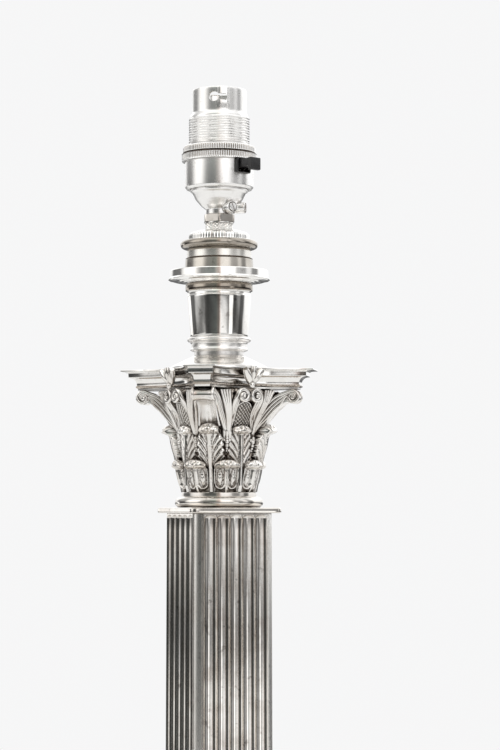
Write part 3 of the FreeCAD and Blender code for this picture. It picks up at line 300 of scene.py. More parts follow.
def soft(points, r=0.25, n=4, closed=True):
    """Rounds each corner of a polyline; a point may carry its own radius."""
    pts = [(p[0], p[1], p[2] if len(p) > 2 else r) for p in points]
    out = []
    m = len(pts)
    for i, (x, y, rr) in enumerate(pts):
        if not closed and i in (0, m - 1):
            out.append((x, y))
            continue
        p0, p2 = np.array(pts[i - 1][:2]), np.array(pts[(i + 1) % m][:2])
        c = np.array((x, y))
        a, b = p0 - c, p2 - c
        la, lb = np.linalg.norm(a), np.linalg.norm(b)
        if rr <= 0 or la < 1e-6 or lb < 1e-6:
            out.append((x, y))
            continue
        a, b = a / la, b / lb
        cosang = max(-1.0, min(1.0, float(a @ b)))
        half = math.acos(cosang) / 2
        if half > rad(86):
            out.append((x, y))
            continue
        t = min(rr / math.tan(half), 0.45 * la, 0.45 * lb)
        s, e = c + a * t, c + b * t
        for k in range(n + 1):
            f = k / n
            q = s * (1 - f) ** 2 + c * 2 * f * (1 - f) + e * f ** 2
            out.append((float(q[0]), float(q[1])))
    return out


def arc(cr, cz, r, a0, a1, n=12):
    return [(cr + r * math.cos(rad(a0 + (a1 - a0) * k / n)), cz + r * math.sin(rad(a0 + (a1 - a0) * k / n)), 0)
            for k in range(n + 1)]


def lathe_data(profile, seg=240, z0=DECK, mod=None, phase=0.0):
    prof = [(p[0], p[1]) for p in profile]
    th = np.arange(seg) * (2 * math.pi / seg) + phase
    verts = np.zeros((seg, len(prof), 3))
    for j, (r, z) in enumerate(prof):
        rr = np.full(seg, float(r))
        zz = np.full(seg, float(z))
        if mod is not None:
            dr = mod(th, r, z, j)
            if isinstance(dr, tuple):
                rr, zz = rr + dr[0], zz + dr[1]
            else:
                rr = rr + dr
        verts[:, j, 0] = rr * np.cos(th)
        verts[:, j, 1] = rr * np.sin(th)
        verts[:, j, 2] = zz + z0
    return verts.reshape(-1, 3), grid(seg, len(prof), True, True)


def lathe(name, profile, slot, mat, nodes=(), body="lamp", angle=34.0, **kw):
    v, f = lathe_data(profile, **kw)
    return make(name, v, f, mat, nodes, body, angle)


def square_ring(h, c, side=18, corner=6):
    """Square of half width h with corner radius c, as points anticlockwise."""
    pts = []
    c = max(min(c, h * 0.9), 0.02)
    for k in range(4):
        a0 = math.pi / 2 * k
        cx, cy = (h - c), (h - c)
        ux, uy = math.cos(a0), math.sin(a0)
        for i in range(corner + 1):
            a = math.pi / 2 * i / corner
            x, y = cx + c * math.cos(a), cy + c * math.sin(a)
            pts.append((x * ux - y * uy, x * uy + y * ux))
        for i in range(1, side):
            f = i / side
            x, y = (h - c) - 2 * (h - c) * f, h
            pts.append((x * ux - y * uy, x * uy + y * ux))
    return pts


def square_data(profile, corner=0.6, z0=0.0, side=18, mod=None):
    prof = [(p[0], p[1]) for p in profile]
    rows = []
    for h, z in prof:
        ring = square_ring(h, corner)
        rows.append([(x, y, z + z0) for x, y in ring])
    n = len(rows[0])
    v = np.array(rows).transpose(1, 0, 2)
    return v.reshape(-1, 3), grid(n, len(prof), True, True)


def square(name, profile, mat, nodes=(), corner=0.6, z0=0.0, angle=34.0):
    v, f = square_data(profile, corner, z0)
    return make(name, v, f, mat, nodes, "lamp", angle)


def merge(parts):
    vs, fs, off = [], [], 0
    for v, f in parts:
        v = np.asarray(v, float)
        vs.append(v)
        fs += [tuple(i + off for i in q) for q in f]
        off += len(v)
    return np.concatenate(vs), fs


def turned_copy(v, degrees, z=0.0):
    c, s = math.cos(rad(degrees)), math.sin(rad(degrees))
    v = np.asarray(v, float)
    out = v.copy()
    out[:, 0] = v[:, 0] * c - v[:, 1] * s
    out[:, 1] = v[:, 0] * s + v[:, 1] * c
    out[:, 2] += z
    return out


def ball(centre, r, nu=20, nv=12, squash=(1, 1, 1)):
    v, f = [], []
    for i in range(nu):
        for j in range(nv + 1):
            a, b = 2 * math.pi * i / nu, math.pi * j / nv
            v.append((centre[0] + r * squash[0] * math.sin(b) * math.cos(a),
                      centre[1] + r * squash[1] * math.sin(b) * math.sin(a), centre[2] + r * squash[2] * math.cos(b)))
    return np.array(v), grid(nu, nv + 1, True, False)


def tube(path, radius, n=14, flat=1.0, up=None, ends=True):
    """Round or flattened rod along a path; radius may vary along it."""
    path = np.asarray(path, float)
    m = len(path)
    rr = np.full(m, radius) if np.isscalar(radius) else np.asarray(radius, float)
    tan = np.gradient(path, axis=0)
    tan /= np.linalg.norm(tan, axis=1)[:, None]
    v = []
    ref = np.array(up if up is not None else (0, 0, 1.0), float)
    side = None
    for i in range(m):
        if up is None and side is not None:
            s = side - tan[i] * (side @ tan[i])
        else:
            base = ref if up is None else (np.asarray(up, float) if np.ndim(up) == 1 else np.asarray(up[i], float))
            s = np.cross(base, tan[i])
            if np.linalg.norm(s) < 1e-6:
                s = np.cross((1.0, 0, 0), tan[i])
        s /= np.linalg.norm(s)
        side = s
        w = np.cross(tan[i], s)
        for k in range(n):
            a = 2 * math.pi * k / n
            v.append(path[i] + rr[i] * (s * math.cos(a) + w * math.sin(a) * flat))
    f = grid(m, n, False, True)
    if ends:
        f.append(tuple(range(n))[::-1])
        f.append(tuple((m - 1) * n + k for k in range(n)))
    return np.array(v), f


def boxy(x0, y0, z0, x1, y1, z1, r=0.3, n=3):
    """Box with rounded edges, as stacked rounded rectangles."""
    r = min(r, (x1 - x0) * 0.45, (y1 - y0) * 0.45, (z1 - z0) * 0.45)
    rows = []
    for k in range(n + 1):
        a = math.pi / 2 * k / n
        rows.append((r - r * math.sin(a), z0 + r - r * math.cos(a)))
    for k in range(n + 1):
        a = math.pi / 2 * k / n
        rows.append((r - r * math.cos(a), z1 - r + r * math.sin(a)))
    v = []
    m = None
    for inset, z in rows:
        ring = []
        for cx, cy, a0 in ((x1 - r, y1 - r, 0), (x0 + r, y1 - r, 90), (x0 + r, y0 + r, 180), (x1 - r, y0 + r, 270)):
            for k in range(n + 1):
                a = rad(a0 + 90 * k / n)
                rr = max(r - inset, 0.001)
                ring.append((cx + rr * math.cos(a), cy + rr * math.sin(a), z))
        m = len(ring)
        v += ring
    f = grid(len(rows), m, False, True)
    f.append(tuple(range(m))[::-1])
    f.append(tuple((len(rows) - 1) * m + k for k in range(m)))
    return np.array(v), f


def cut_with(o, verts, faces, op="DIFFERENCE"):
    """Boolean with a helper mesh that is then removed."""
    me = bpy.data.meshes.new("helper")
    me.from_pydata((np.asarray(verts, float) / 1000.0).tolist(), [], [list(map(int, f)) for f in faces])
    bm = bmesh.new()
    bm.from_mesh(me)
    bmesh.ops.recalc_face_normals(bm, faces=bm.faces)
    bm.to_mesh(me)
    bm.free()
    h = bpy.data.objects.new("helper", me)
    bpy.context.scene.collection.objects.link(h)
    mod = o.modifiers.new("b", "BOOLEAN")
    mod.operation = op
    mod.object = h
    mod.solver = "EXACT"
    bpy.context.view_layer.update()
    done = bpy.data.meshes.new_from_object(o.evaluated_get(bpy.context.evaluated_depsgraph_get()))
    o.modifiers.clear()
    mat = o.data.materials[0]
    o.data = done
    if not done.materials:
        done.materials.append(mat)
    done.polygons.foreach_set("use_smooth", [True] * len(done.polygons))
    done.set_sharp_from_angle(angle=rad(32))
    bpy.data.objects.remove(h)
    return o


def smooth_step(x, a, b):
    t = np.clip((np.asarray(x, float) - a) / (b - a), 0, 1)
    return t * t * (3 - 2 * t)


def band(o, mat, low, high, reach=0.0, out=1000.0):
    """Gives the faces between two levels above the deck, and two reaches, another material."""
    o.data.materials.append(mat)
    k = len(o.data.materials) - 1
    for f_ in o.data.polygons:
        c = f_.center * 1000.0
        if low + DECK <= c.z <= high + DECK and reach <= math.hypot(c.x, c.y) <= out:
            f_.material_index = k


# ---- base -------------------------------------------------------------------
shell = [(66.5, 1.0), (67.6, 1.0, 0.3), (68.0, 1.5, 0.3), (68.0, 4.6, 0.8), (67.2, 6.0, 0.5), (58.0, 6.0, 0.1), (58.0, 21.4, 0.4),
         (57.2, 23.0, 0.8)]
shell += [(57.2 - 10.0 * (0.5 - 0.5 * math.cos(math.pi * k / 14)) ** 1.0, 23.0 + 8.0 * k / 14, 0) for k in range(1, 14)]
shell += [(47.0, 31.2, 0.2), (47.0, 33.6, 0.4), (46.2, 34.0, 0.2)]
shell += [(34.2 + 12.0 * (1 - math.sin(math.pi / 2 * k / 12)), 34.0 + 8.0 * (1 - math.cos(math.pi / 2 * k / 12)), 0)
          for k in range(1, 12)]
shell += [(34.0, 42.0, 0.2), (5.15, 42.0, 0), (5.15, 40.5, 0), (31.0, 40.5, 0.5), (43.0, 34.0, 1), (45.0, 30.0, 1), (56.0, 22.0, 1), (56.5, 4.5, 0.3),
          (66.5, 4.5, 0.3)]
base_obj = square("base_shell_shape", soft(shell, 0.3, 3), SILVER, ["base_shell"], corner=1.2)
hole = tube([(0, 50, 16.6), (0, 64, 16.6)], 4.6, 40, up=(0, 0, 1))
cut_with(base_obj, *hole)

parts = [square_data(soft([(58.02, 6.0, 0), (63.0, 6.0, 0.3), (63.0, 6.9, 0.3), (61.9, 7.2, 0.2), (59.4, 8.8, 0.3), (58.9, 10.0, 0.3), (58.02, 10.0, 0)], 0.2, 3), 1.4)]
n_bead = 30
for k in range(4):
    for i in range(n_bead):
        y = -60.9 + 2 * 60.9 * i / n_bead
        p = turned_copy(np.array([(60.9, y, 8.02)]), 90 * k)[0]
        parts.append(ball(p, 1.93, 16, 10))
v, f = merge(parts)
make("bead_border_shape", v, f, SILVER, ["bead_border"])

square("plinth_shape", soft([(5.15, 62.5, 0), (30.0, 62.5, 0), (30.0, 42.0, 0), (31.2, 42.0, 0.2), (31.5, 42.4, 0.2), (31.5, 44.8, 0.3), (30.9, 45.4, 0.3),
                             (30.9, 61.2, 0.3), (31.5, 61.8, 0.3), (31.5, 64.0, 0.2), (5.15, 64.0, 0)], 0.3, 3),
       SILVER, ["plinth"], corner=0.5)
mould = [(5.15, 64.0, 0), (32.0, 64.0, 0.1)] + [(32.0 + 3.3 * math.sin(math.pi / 2 * k / 8), 64.0 + 2.4 * (1 - math.cos(math.pi / 2 * k / 8)), 0) for k in range(1, 9)]
mould += [(35.5, 66.6, 0.2), (35.5, 68.0, 0.3), (5.15, 68.0, 0)]
square("plinth_moulding_shape", soft(mould, 0.25, 3), SILVER, ["plinth_moulding"], corner=0.6)
attic = [(5.15, 68.0, 0), (30.0, 68.0, 0.2), (30.0, 71.0, 0.4), (28.2, 71.0, 0)] + [(p[0], p[1], 0) for p in arc(27.0, 73.0, 2.0, -70, 70, 12)]
attic += [(26.0, 75.0, 0.1), (26.0, 76.0, 0.2)] + [(p[0], p[1], 0) for p in arc(25.8, 77.3, 1.9, 230, 130, 10)]
attic += [(24.0, 78.6, 0.1)] + [(p[0], p[1], 0) for p in arc(23.8, 79.8, 1.2, -80, 80, 10)]
attic += [(22.0, 81.0, 0.1), (22.0, 82.0, 0.2), (5.15, 82.0, 0)]
square("column_base_shape", soft(attic, 0.25, 3), SILVER, ["column_base"], corner=0.8)

# ---- fluted shaft -----------------------------------------------------------
LOW, HIGH = 82.0, 322.0


def shaft_section():
    """Points of one face: (fraction across the face, flute coordinate or None)."""
    pts = []
    n = 5
    for j in range(n):
        for i in range(20):
            u = -1 + 2 * i / 20
            pts.append((j + (u + 1) / 2, u))
    pts.append((n, -1.0))
    return pts


sec = shaft_section()
zs = [LOW, LOW + 0.25, LOW + 1.6, LOW + 2.9]
zs += [LOW + 3.0 + 3.2 * k / 10 for k in range(11)]
zs += list(np.linspace(LOW + 8, HIGH - 8, 60))
zs += [HIGH - 0.8 - 1.6 + 1.6 * k / 12 for k in range(13)] + [HIGH - 0.7, HIGH - 0.2, HIGH]
rows = []
for z in zs:
    half = 20.1 + (19.55 - 20.1) * (z - LOW) / (HIGH - LOW)
    if z in (zs[0], zs[-1]):
        half -= 0.18
    inner = half - 3.96
    pitch = 2 * inner / 5
    w = pitch * 0.5 - 0.17
    ring = []
    for k in range(4):
        face = []
        for s, u in sec:
            b = -inner + s * pitch
            d = 0.0
            uu = u * (pitch * 0.5) / w
            lo, hi = LOW + 3.0 + 3.2, HIGH - 0.8 - 1.6
            vz = 0.0 if lo <= z <= hi else ((lo - z) / 3.2 if z < lo else (z - hi) / 1.6)
            q = uu * uu + vz * vz
            if q < 1:
                d = 1.62 * math.sqrt(1 - q) ** 1.0
            face.append((half - d, b))
        # pilaster on the cut corner: two fillets with a soft roll between them
        x1, y1 = half, inner
        for i in range(1, 22):
            t_ = i / 22
            px, py = half - 3.96 * t_, inner + 3.96 * t_
            bulge = 0.0
            if 0.14 < t_ < 0.86:
                e = (t_ - 0.5) / 0.36
                bulge = 0.42 * math.sqrt(max(0.0, 1 - e * e)) - 0.05
            if 0.06 < t_ < 0.14 or 0.86 < t_ < 0.94:
                bulge = -0.32
            px += bulge * 0.7071
            py += bulge * 0.7071
            face.append((px, py))
        for x, y in face:
            c, s_ = round(math.cos(math.pi / 2 * k)), round(math.sin(math.pi / 2 * k))
            ring.append((x * c - y * s_, x * s_ + y * c, z))
    rows.append(ring)
n_ring = len(rows[0])
inside = [[(x * 16.2 / 20.1 * 0.98, y * 16.2 / 20.1 * 0.98, z) for x, y, _ in rows[3]] for z in (HIGH, LOW)]
allrows = rows + inside
v = np.array(allrows).transpose(1, 0, 2).reshape(-1, 3)
o = make("column_shaft_shape", v, grid(n_ring, len(allrows), True, True), SHAFT, ["column_shaft"], angle=40)
# the cut corners take a rougher, lighter copy of the shaft metal; its lighter colour is painted highlight
o.data.materials.append(LIT_CORNER)
for f_ in o.data.polygons:
    c = f_.center * 1000.0
    if min(abs(c.x), abs(c.y)) > 20.1 + (19.55 - 20.1) * (c.z - LOW) / (HIGH - LOW) - 3.9:
        f_.material_index = 1

plate = [(5.15, -2.5, 0), (21.9, -2.5, 0.3), (22.4, -2.1, 0.3), (22.4, -0.5, 0.3), (21.9, 0.0, 0.3), (5.15, 0.0, 0)]
square("necking_plate_shape", soft(plate, 0.3, 4), RING, ["necking_plate"], corner=3.0, z0=DECK)

# ---- turned pieces above the capital ----------------------------------------
torus = [(5.15, 0.0, 0), (19.0, 0.0, 0.05)] + arc(17.85, 2.5, 2.5, -62, 80, 22)
torus += [(17.3, 5.2, 0.1), (17.3, 6.7, 0.25), (17.0, 7.0, 0.1), (5.15, 7.0, 0)]
lathe("capital_base_ring_shape", soft(torus, 0.12, 3), "silver", RING, ["capital_base_ring"])
BELL = [(14.8, 7.0), (14.8, 14.0), (15.2, 24.0), (16.4, 34.0), (18.6, 43.0), (21.0, 49.0), (23.0, 53.0), (23.0, 54.0)]


def bell_r(z):
    return float(np.interp(z, [p[1] for p in BELL], [p[0] for p in BELL]))




def foliage(th, r, z, j):
    """Low leaf ground that fills the bell between the applied leaves and scrolls."""
    if z < 7.3 or z > 53.3 or r < bell_r(z) - 0.3:
        return 0.0
    x = np.radians((np.degrees(th) - TURN) % 45.0 - 22.5) * (r + 1.5)
    side = np.abs(x)
    if z < 33.0:
        v_ = z - 1.9 * side
        low_ = 1.0 + 0.85 * np.abs(np.sin(math.pi * v_ / 2.3)) ** 0.8 - 0.6 * np.clip(1 - (x / 0.4) ** 2, 0, 1)
        low_ = low_ + 0.12 * np.abs(np.sin(math.pi * v_ / 0.62))
    else:
        low_ = np.full(len(th), 1.4)
    fan = np.arctan2(x, z - 25.0)
    reed = 0.9 + 0.85 * np.abs(np.sin(fan * 27.0)) ** 0.75 + 1.7 * np.exp(-(x / 4.6) ** 2) * float(smooth_step(z, 36, 42) * (1 - smooth_step(z, 48.5, 53)))
    reed = reed - 0.5 * np.abs(((z - 0.8 * side) / 3.1) % 1.0 - 0.5) * float(smooth_step(z, 38, 40))
    # the ground sinks behind the shields
    y = np.abs(np.radians((np.degrees(th) - TURN + 45.0) % 90.0 - 45.0) * (r + 1.5))
    reed = np.where(y < 5.0, np.minimum(reed, 0.35), reed) if 35.0 < z < 48.2 else reed
    k = float(smooth_step(z, 31.5, 34.5))
    return (low_ * (1 - k) + reed * k) * float(smooth_step(z, 7.3, 9.2)) * (1 - 0.6 * float(smooth_step(z, 52.3, 53.3)))


bell = [(14.8, 7.0, 0)] + [(bell_r(7.3 + 46.0 * k / 150), 7.3 + 46.0 * k / 150, 0) for k in range(151)]
bell += [(23.0, 54.0, 0), (20.5, 54.0, 0), (18.4, 49.0, 0), (16.0, 43.0, 0), (14.0, 34.0, 0), (12.8, 24.0, 0), (12.6, 8.2, 0), (5.15, 8.2, 0), (5.15, 7.0, 0)]
lathe("capital_bell_shape", bell, "silver", GROUND, ["capital_bell"], seg=640, mod=foliage, angle=60)
dome = [(5.15, 63.42, 0), (22.4, 63.42, 0.1), (22.6, 63.8, 0.2), (22.5, 64.5, 0.4), (20.4, 65.7, 2), (17.0, 67.3, 3), (14.2, 68.7, 1.2), (13.0, 69.0, 0.2), (12.4, 69.6, 0.3), (5.15, 69.6, 0)]
lathe("abacus_dome_shape", soft(dome, 0.3, 6), "silver", TURNED, ["abacus_dome"])
stem = [(5.15, 69.62, 0), (11.5, 69.62, 0.1), (11.45, 71.7, 0.4), (12.9, 72.2, 0.2), (13.4, 72.6, 0.3), (12.9, 73.5, 1.5), (12.9, 75.3, 1.5), (13.4, 76.0, 0.2), (13.4, 76.25, 0.1), (14.3, 76.4, 0.1)]
stem += arc(13.9, 77.25, 0.85, -55, 70, 10)
stem += [(13.3, 78.2, 0.1), (13.3, 78.7, 0.1), (5.15, 78.7, 0)]
lathe("cup_stem_shape", soft(stem, 0.2, 4), "silver", STEM, ["cup_stem"])
cup = [(5.15, 78.72, 0), (13.2, 78.72, 0.1), (13.4, 79.3, 0.3), (14.85, 97.3, 0.3), (14.6, 98.0, 0.2), (14.5, 98.9, 0.3), (15.0, 99.6, 0.3)]
cup += [(15.55, 99.9, 0.3), (15.7, 100.9, 0.8), (15.6, 102.2, 0.5), (15.15, 103.2, 0.3), (13.2, 103.2, 0.1), (13.2, 98, 0), (12.2, 81.5, 0), (5.15, 81.5, 0)]


def dented(th, r, z, j):
    if r < 13.3 or z > 98:
        return 0.0
    return 0.012 * np.sin(5 * th + 0.12 * z) + 0.007 * np.sin(9 * th - 0.22 * z + 1.0) + 0.003 * np.sin(19 * th + 0.5 * z)


body_ = [(13.4 + 1.45 * k / 24, 79.3 + 18.0 * k / 24, 0) for k in range(1, 24)]
cup = cup[:3] + body_ + cup[3:]
o = lathe("candle_cup_shape", soft(cup, 0.3, 5), "silver", CUP, ["candle_cup"], seg=300, mod=dented)
# the cup's rim, under the drip pan, is coloured darker
band(o, DUSK, 99.3, 103.3, 14.0)
pan = [(5.15, 103.22, 0), (14.9, 103.22, 0.2), (15.3, 103.75, 0.2), (16.6, 103.55, 0.3), (17.0, 103.95, 0.2), (18.6, 103.85, 0.3), (19.0, 104.3, 0.2), (21.0, 104.25, 0.5), (22.9, 104.6, 0.3), (23.5, 104.9, 0.2), (23.6, 105.2, 0.2), (23.2, 105.6, 0.2),
       (22.85, 106.0, 0.2), (22.8, 108.9, 0.3), (22.5, 109.3, 0.2), (21.9, 109.3, 0.2), (21.4, 107.4, 1), (17.0, 106.8, 0), (5.15, 106.8, 0)]
lathe("drip_pan_shape", soft(pan, 0.25, 4), "silver", TURNED, ["drip_pan"])
lathe("bung_sleeve_shape", soft([(5.15, 106.82, 0), (16.2, 106.82, 0.2), (15.95, 109.5, 4), (15.7, 114.4, 0.25), (5.15, 114.4, 0)], 0.2, 5),
      "bung_metal", WARM, ["bung_sleeve"])
o = lathe("adapter_collar_shape", soft([(5.15, 114.42, 0), (15.5, 114.42, 0.15), (15.5, 114.9, 0.15), (14.9, 115.15, 0.1), (14.9, 118.2, 0.2), (14.3, 119.4, 0.3), (5.15, 119.4, 0)], 0.2, 4),
      "nickel_plate", COLLAR, ["adapter_collar"])
# painted shadow: a dark band on the collar's foot, in the gap over the bung sleeve
band(o, RECESS_SHADE, 114.4, 115.2, 14.0)
ring = [(5.15, 119.42, 0)] + arc(16.12, 121.31, 1.88, -90, 90, 22) + [(5.15, 123.19, 0)]
lathe("adapter_ring_shape", soft(ring, 0.1, 2), "nickel_plate", TARNISH, ["adapter_ring"])


def knurl(count, depth, z_lo, z_hi, r_min, edge=0.35, slant=0.0, sharp=1.0):
    def f(th, r, z, j):
        if r < r_min or z < z_lo - 1e-6 or z > z_hi + 1e-6:
            return 0.0
        fade = float(smooth_step(z, z_lo, z_lo + edge) * (1 - smooth_step(z, z_hi - edge, z_hi)))
        x = (th * count / (2 * math.pi) + slant * z) % 1.0
        return -depth * fade * (np.abs(2 * x - 1) ** sharp)
    return f


def levels(r, z0, z1, n):
    return [(r, z0 + (z1 - z0) * k / n, 0) for k in range(n + 1)]


coll = [(5.15, 123.22, 0), (13.9, 123.22, 0.1)] + levels(14.15, 123.4, 125.4, 6) + [(13.9, 126.0, 0.4), (13.0, 126.8, 0.8), (10.6, 127.55, 1.5), (7.6, 127.9, 0.5), (6.6, 128.0, 0.2), (5.15, 128.0, 0)]
lathe("knurled_collar_shape", soft(coll, 0.2, 4), "nickel_plate", NECK, ["knurled_collar"], seg=660,
      mod=knurl(66, 0.16, 123.3, 126.2, 13.5))


def diamonds(th, r, z, j):
    if r < 6.0:
        return 0.0
    a = np.abs(((th * 22 / (2 * math.pi) + z * 0.62) % 1.0) * 2 - 1)
    b = np.abs(((th * 22 / (2 * math.pi) - z * 0.62) % 1.0) * 2 - 1)
    return 0.05 - 0.42 * np.maximum(a, b) ** 1.5


neck = [(5.15, 128.02, 0), (6.0, 128.02, 0)] + levels(6.35, 128.1, 131.15, 30) + [(6.0, 131.2, 0), (5.15, 131.2, 0)]
lathe("beaded_neck_shape", neck, "nickel_plate", NECK, ["beaded_neck"], seg=352, mod=diamonds)
lathe("lock_washer_shape", soft([(5.15, 131.22, 0), (6.7, 131.22, 0.1), (6.7, 131.9, 0.1), (5.15, 131.9, 0)], 0.1, 3),
      "nickel_plate", PLATE, ["lock_washer"])

# hexagon nut with turned chamfers on both faces
nv_, nf_ = [], []
hexa = []
for r_in, z, ch in ((5.15, 131.92, 0.55), (0, 131.92, 0.55), (0, 132.35, 0.0), (0, 134.69, 0.0), (0, 135.12, 0.55), (5.15, 135.12, 0.55)):
    row = []
    for i in range(180):
        a = 2 * math.pi * i / 180
        if r_in:
            row.append((r_in * math.cos(a), r_in * math.sin(a), DECK + z))
            continue
        local = ((math.degrees(a) - 9) % 60) - 30
        flat = 8.0 * math.cos(rad(30)) / math.cos(rad(local))
        r_ = min(flat, 7.62) if ch else min(flat, 7.98)
        row.append((r_ * math.cos(a), r_ * math.sin(a), DECK + z))
    hexa.append(row)
v = np.array(hexa).transpose(1, 0, 2).reshape(-1, 3)
make("lock_nut_shape", v, grid(180, len(hexa), True, True), RING, ["lock_nut"], angle=25)

# ---- lampholder -------------------------------------------------------------
capp = [(5.02, 135.2, 0), (6.1, 135.2, 0.2), (6.3, 135.6, 0.2), (6.3, 137.8, 0.6), (8.4, 139.4, 2.5), (11.1, 142.6, 4), (12.4, 145.2, 0.6), (13.2, 145.9, 0.2), (13.4, 146.2, 0.2), (13.4, 147.2, 0.15),
        (12.2, 147.2, 0), (10.2, 142.8, 1), (7.4, 140.2, 1), (5.02, 139.6, 0)]
cap_obj = lathe("holder_cap_shape", soft(capp, 0.25, 5), "satin_nickel", SATIN, ["holder_cap"])
for ang, reach, lev, hole_r in ((-78.0, 10.8, 138.2, 2.0), (-36.0, 12.5, 138.5, 1.5)):
    d = np.array((math.cos(rad(ang)), math.sin(rad(ang)), 0))
    path = [d * s + np.array((0, 0, DECK + lev)) for s in (6.6, 8.0, reach - 0.35, reach - 0.12, reach)]
    cut_with(cap_obj, *tube(path, [2.7, 2.7, 2.7, 2.6, 2.35], 48, up=(0, 0, 1)), op="UNION")
    path = [d * s + np.array((0, 0, DECK + lev)) for s in (6.8, reach - 0.25, reach + 0.6)]
    cut_with(cap_obj, *tube(path, [hole_r, hole_r, hole_r + 0.45], 48, up=(0, 0, 1)))


# painted shade inside the two screw holes of the bosses
cap_obj.data.materials.append(RECESS_SHADE)
for f_ in cap_obj.data.polygons:
    c_ = np.array(f_.center) * 1000.0
    for ang, reach, lev, hole_r in ((-78.0, 10.8, 138.2, 2.0), (-36.0, 12.5, 138.5, 1.5)):
        d = np.array((math.cos(rad(ang)), math.sin(rad(ang)), 0))
        w_ = c_ - np.array((0, 0, DECK + lev))
        if w_ @ d > 7.2 and np.linalg.norm(w_ - d * (w_ @ d)) < hole_r + 0.06:
            f_.material_index = 1


def screw(name, ang, lev, low, high, r, slot_w, node, mat):
    """Slotted screw head seen end-on, its rim softened."""
    prof = [(0.02, high, 0), (r - 0.3, high, 0.1), (r - 0.02, high - 0.3, 0.15), (r - 0.02, low, 0.05), (0.02, low, 0)]
    v, f = lathe_data(soft(prof, 0.1, 3), seg=64, z0=0.0)
    cutter, cf = boxy(-3, -slot_w / 2, high - 0.75, 3, slot_w / 2, high + 1, 0.05)
    m_ = Matrix.Translation((0, 0, (DECK + lev))) @ Matrix.Rotation(rad(ang), 4, "Z") @ Matrix.Rotation(rad(90), 4, "Y")
    spin_ = Matrix.Rotation(rad(24), 4, "Z")
    v = np.array([(m_ @ spin_ @ Vector(p))[:] for p in v])
    cutter = np.array([(m_ @ spin_ @ Vector(p))[:] for p in cutter])
    o = make(name, v, f, mat, [node])
    return cut_with(o, cutter, cf)


screw("cap_screw_shape", -78.0, 138.2, 7.0, 11.3, 1.95, 0.55, "cap_screw", SATIN)
screw("grub_screw_shape", -36.0, 138.5, 7.0, 9.6, 1.45, 0.5, "grub_screw", TARNISH)

skirt = [(13.6, 147.0, 0.1), (15.1, 147.0, 0.5), (15.9, 148.0, 0.8), (15.9, 161.3, 0.05), (15.1, 161.3, 0), (15.1, 148.0, 0.1), (13.6, 147.8, 0)]
skirt_obj = lathe("holder_skirt_shape", soft(skirt, 0.2, 5), "satin_nickel", SATIN, ["holder_skirt"])
for side in (0, 180):
    bv, bf = boxy(12.0, -3.5, DECK + 153.5, 20.0, 3.5, DECK + 159.8, 0.35)
    cut_with(skirt_obj, turned_copy(bv, -72 + side), bf)

SLOT_A = -124.5


def barrel_mod(th, r, z, j):
    dr = np.zeros_like(th)
    if 13.9 < r and 168.0 <= z <= 180.2:
        x = ((z - th / (2 * math.pi) * 1.15) / 1.15) % 1.0
        dr = dr - 0.42 * np.abs(2 * x - 1) ** 0.9
    if 12.2 < r < 13.6 and z > 182.9:
        for side in (0, 180):
            a = (np.degrees(th) - (SLOT_A + side + 20.0) + 180) % 360 - 180
            rise = smooth_step(z, 183.0, 186.0)
            dr = dr + 0.45 * rise * (smooth_step(a, -14.5, -7.0) * (1 - smooth_step(a, 7.5, 15.0)))
    if r < 11.5 and z > 183.0:
        for side in (0, 180):
            a = (np.degrees(th) - (SLOT_A + side + 20.0) + 180) % 360 - 180
            dr = dr + 0.55 * (smooth_step(a, -11.0, -8.5) * (1 - smooth_step(a, 8.5, 11.0)))
    return dr


barrel = [(12.6, 161.4, 0), (15.6, 161.4, 0), (15.7, 161.5, 0), (15.7, 162.3, 0), (15.6, 162.4, 0), (14.15, 162.42, 0), (14.15, 167.6, 0), (14.0, 167.9, 0)]
barrel += [(14.2, 168.0 + 12.1 * k / 100, 0) for k in range(101)]
barrel += [(13.8, 180.25, 0), (13.75, 180.6, 0), (13.3, 181.4, 0), (12.85, 182.2, 0), (12.7, 182.5, 0), (12.7, 183.0, 0)]
barrel += [(12.7, 183.0 + 9.6 * k / 16, 0) for k in range(1, 17)]
barrel += [(12.68, 192.9, 0), (12.6, 193.2, 0), (12.4, 193.42, 0), (12.2, 193.5, 0), (11.6, 193.5, 0), (11.4, 193.3, 0), (11.4, 188.0, 0), (11.4, 183.6, 0), (11.7, 183.5, 0), (11.7, 179.6, 0), (12.6, 179.0, 0)]
barrel_obj = lathe("holder_barrel_shape", barrel, "satin_nickel", SATIN, ["holder_barrel"], seg=288, mod=barrel_mod, angle=38)
for side in (0, 180):
    seat = []
    zc, y0, y1 = 188.8, 0.0, 6.0
    for k in range(25):
        a = rad(35 + 290 * k / 24)
        seat.append((2.35 * math.cos(a), zc + 2.35 * math.sin(a)))
    seat += [(y1 - 0.5, zc - 1.9), (y1, zc - 1.4), (y1, zc + 0.7), (y1 - 0.5, zc + 1.2)]
    n = len(seat)
    v = [(9.0, y, z + DECK) for y, z in seat] + [(16.0, y, z + DECK) for y, z in seat]
    f = [tuple(range(n)), tuple(range(2 * n - 1, n - 1, -1))] + [(i, (i + 1) % n, n + (i + 1) % n, n + i) for i in range(n)]
    cut_with(barrel_obj, turned_copy(np.array(v), SLOT_A + side), f)

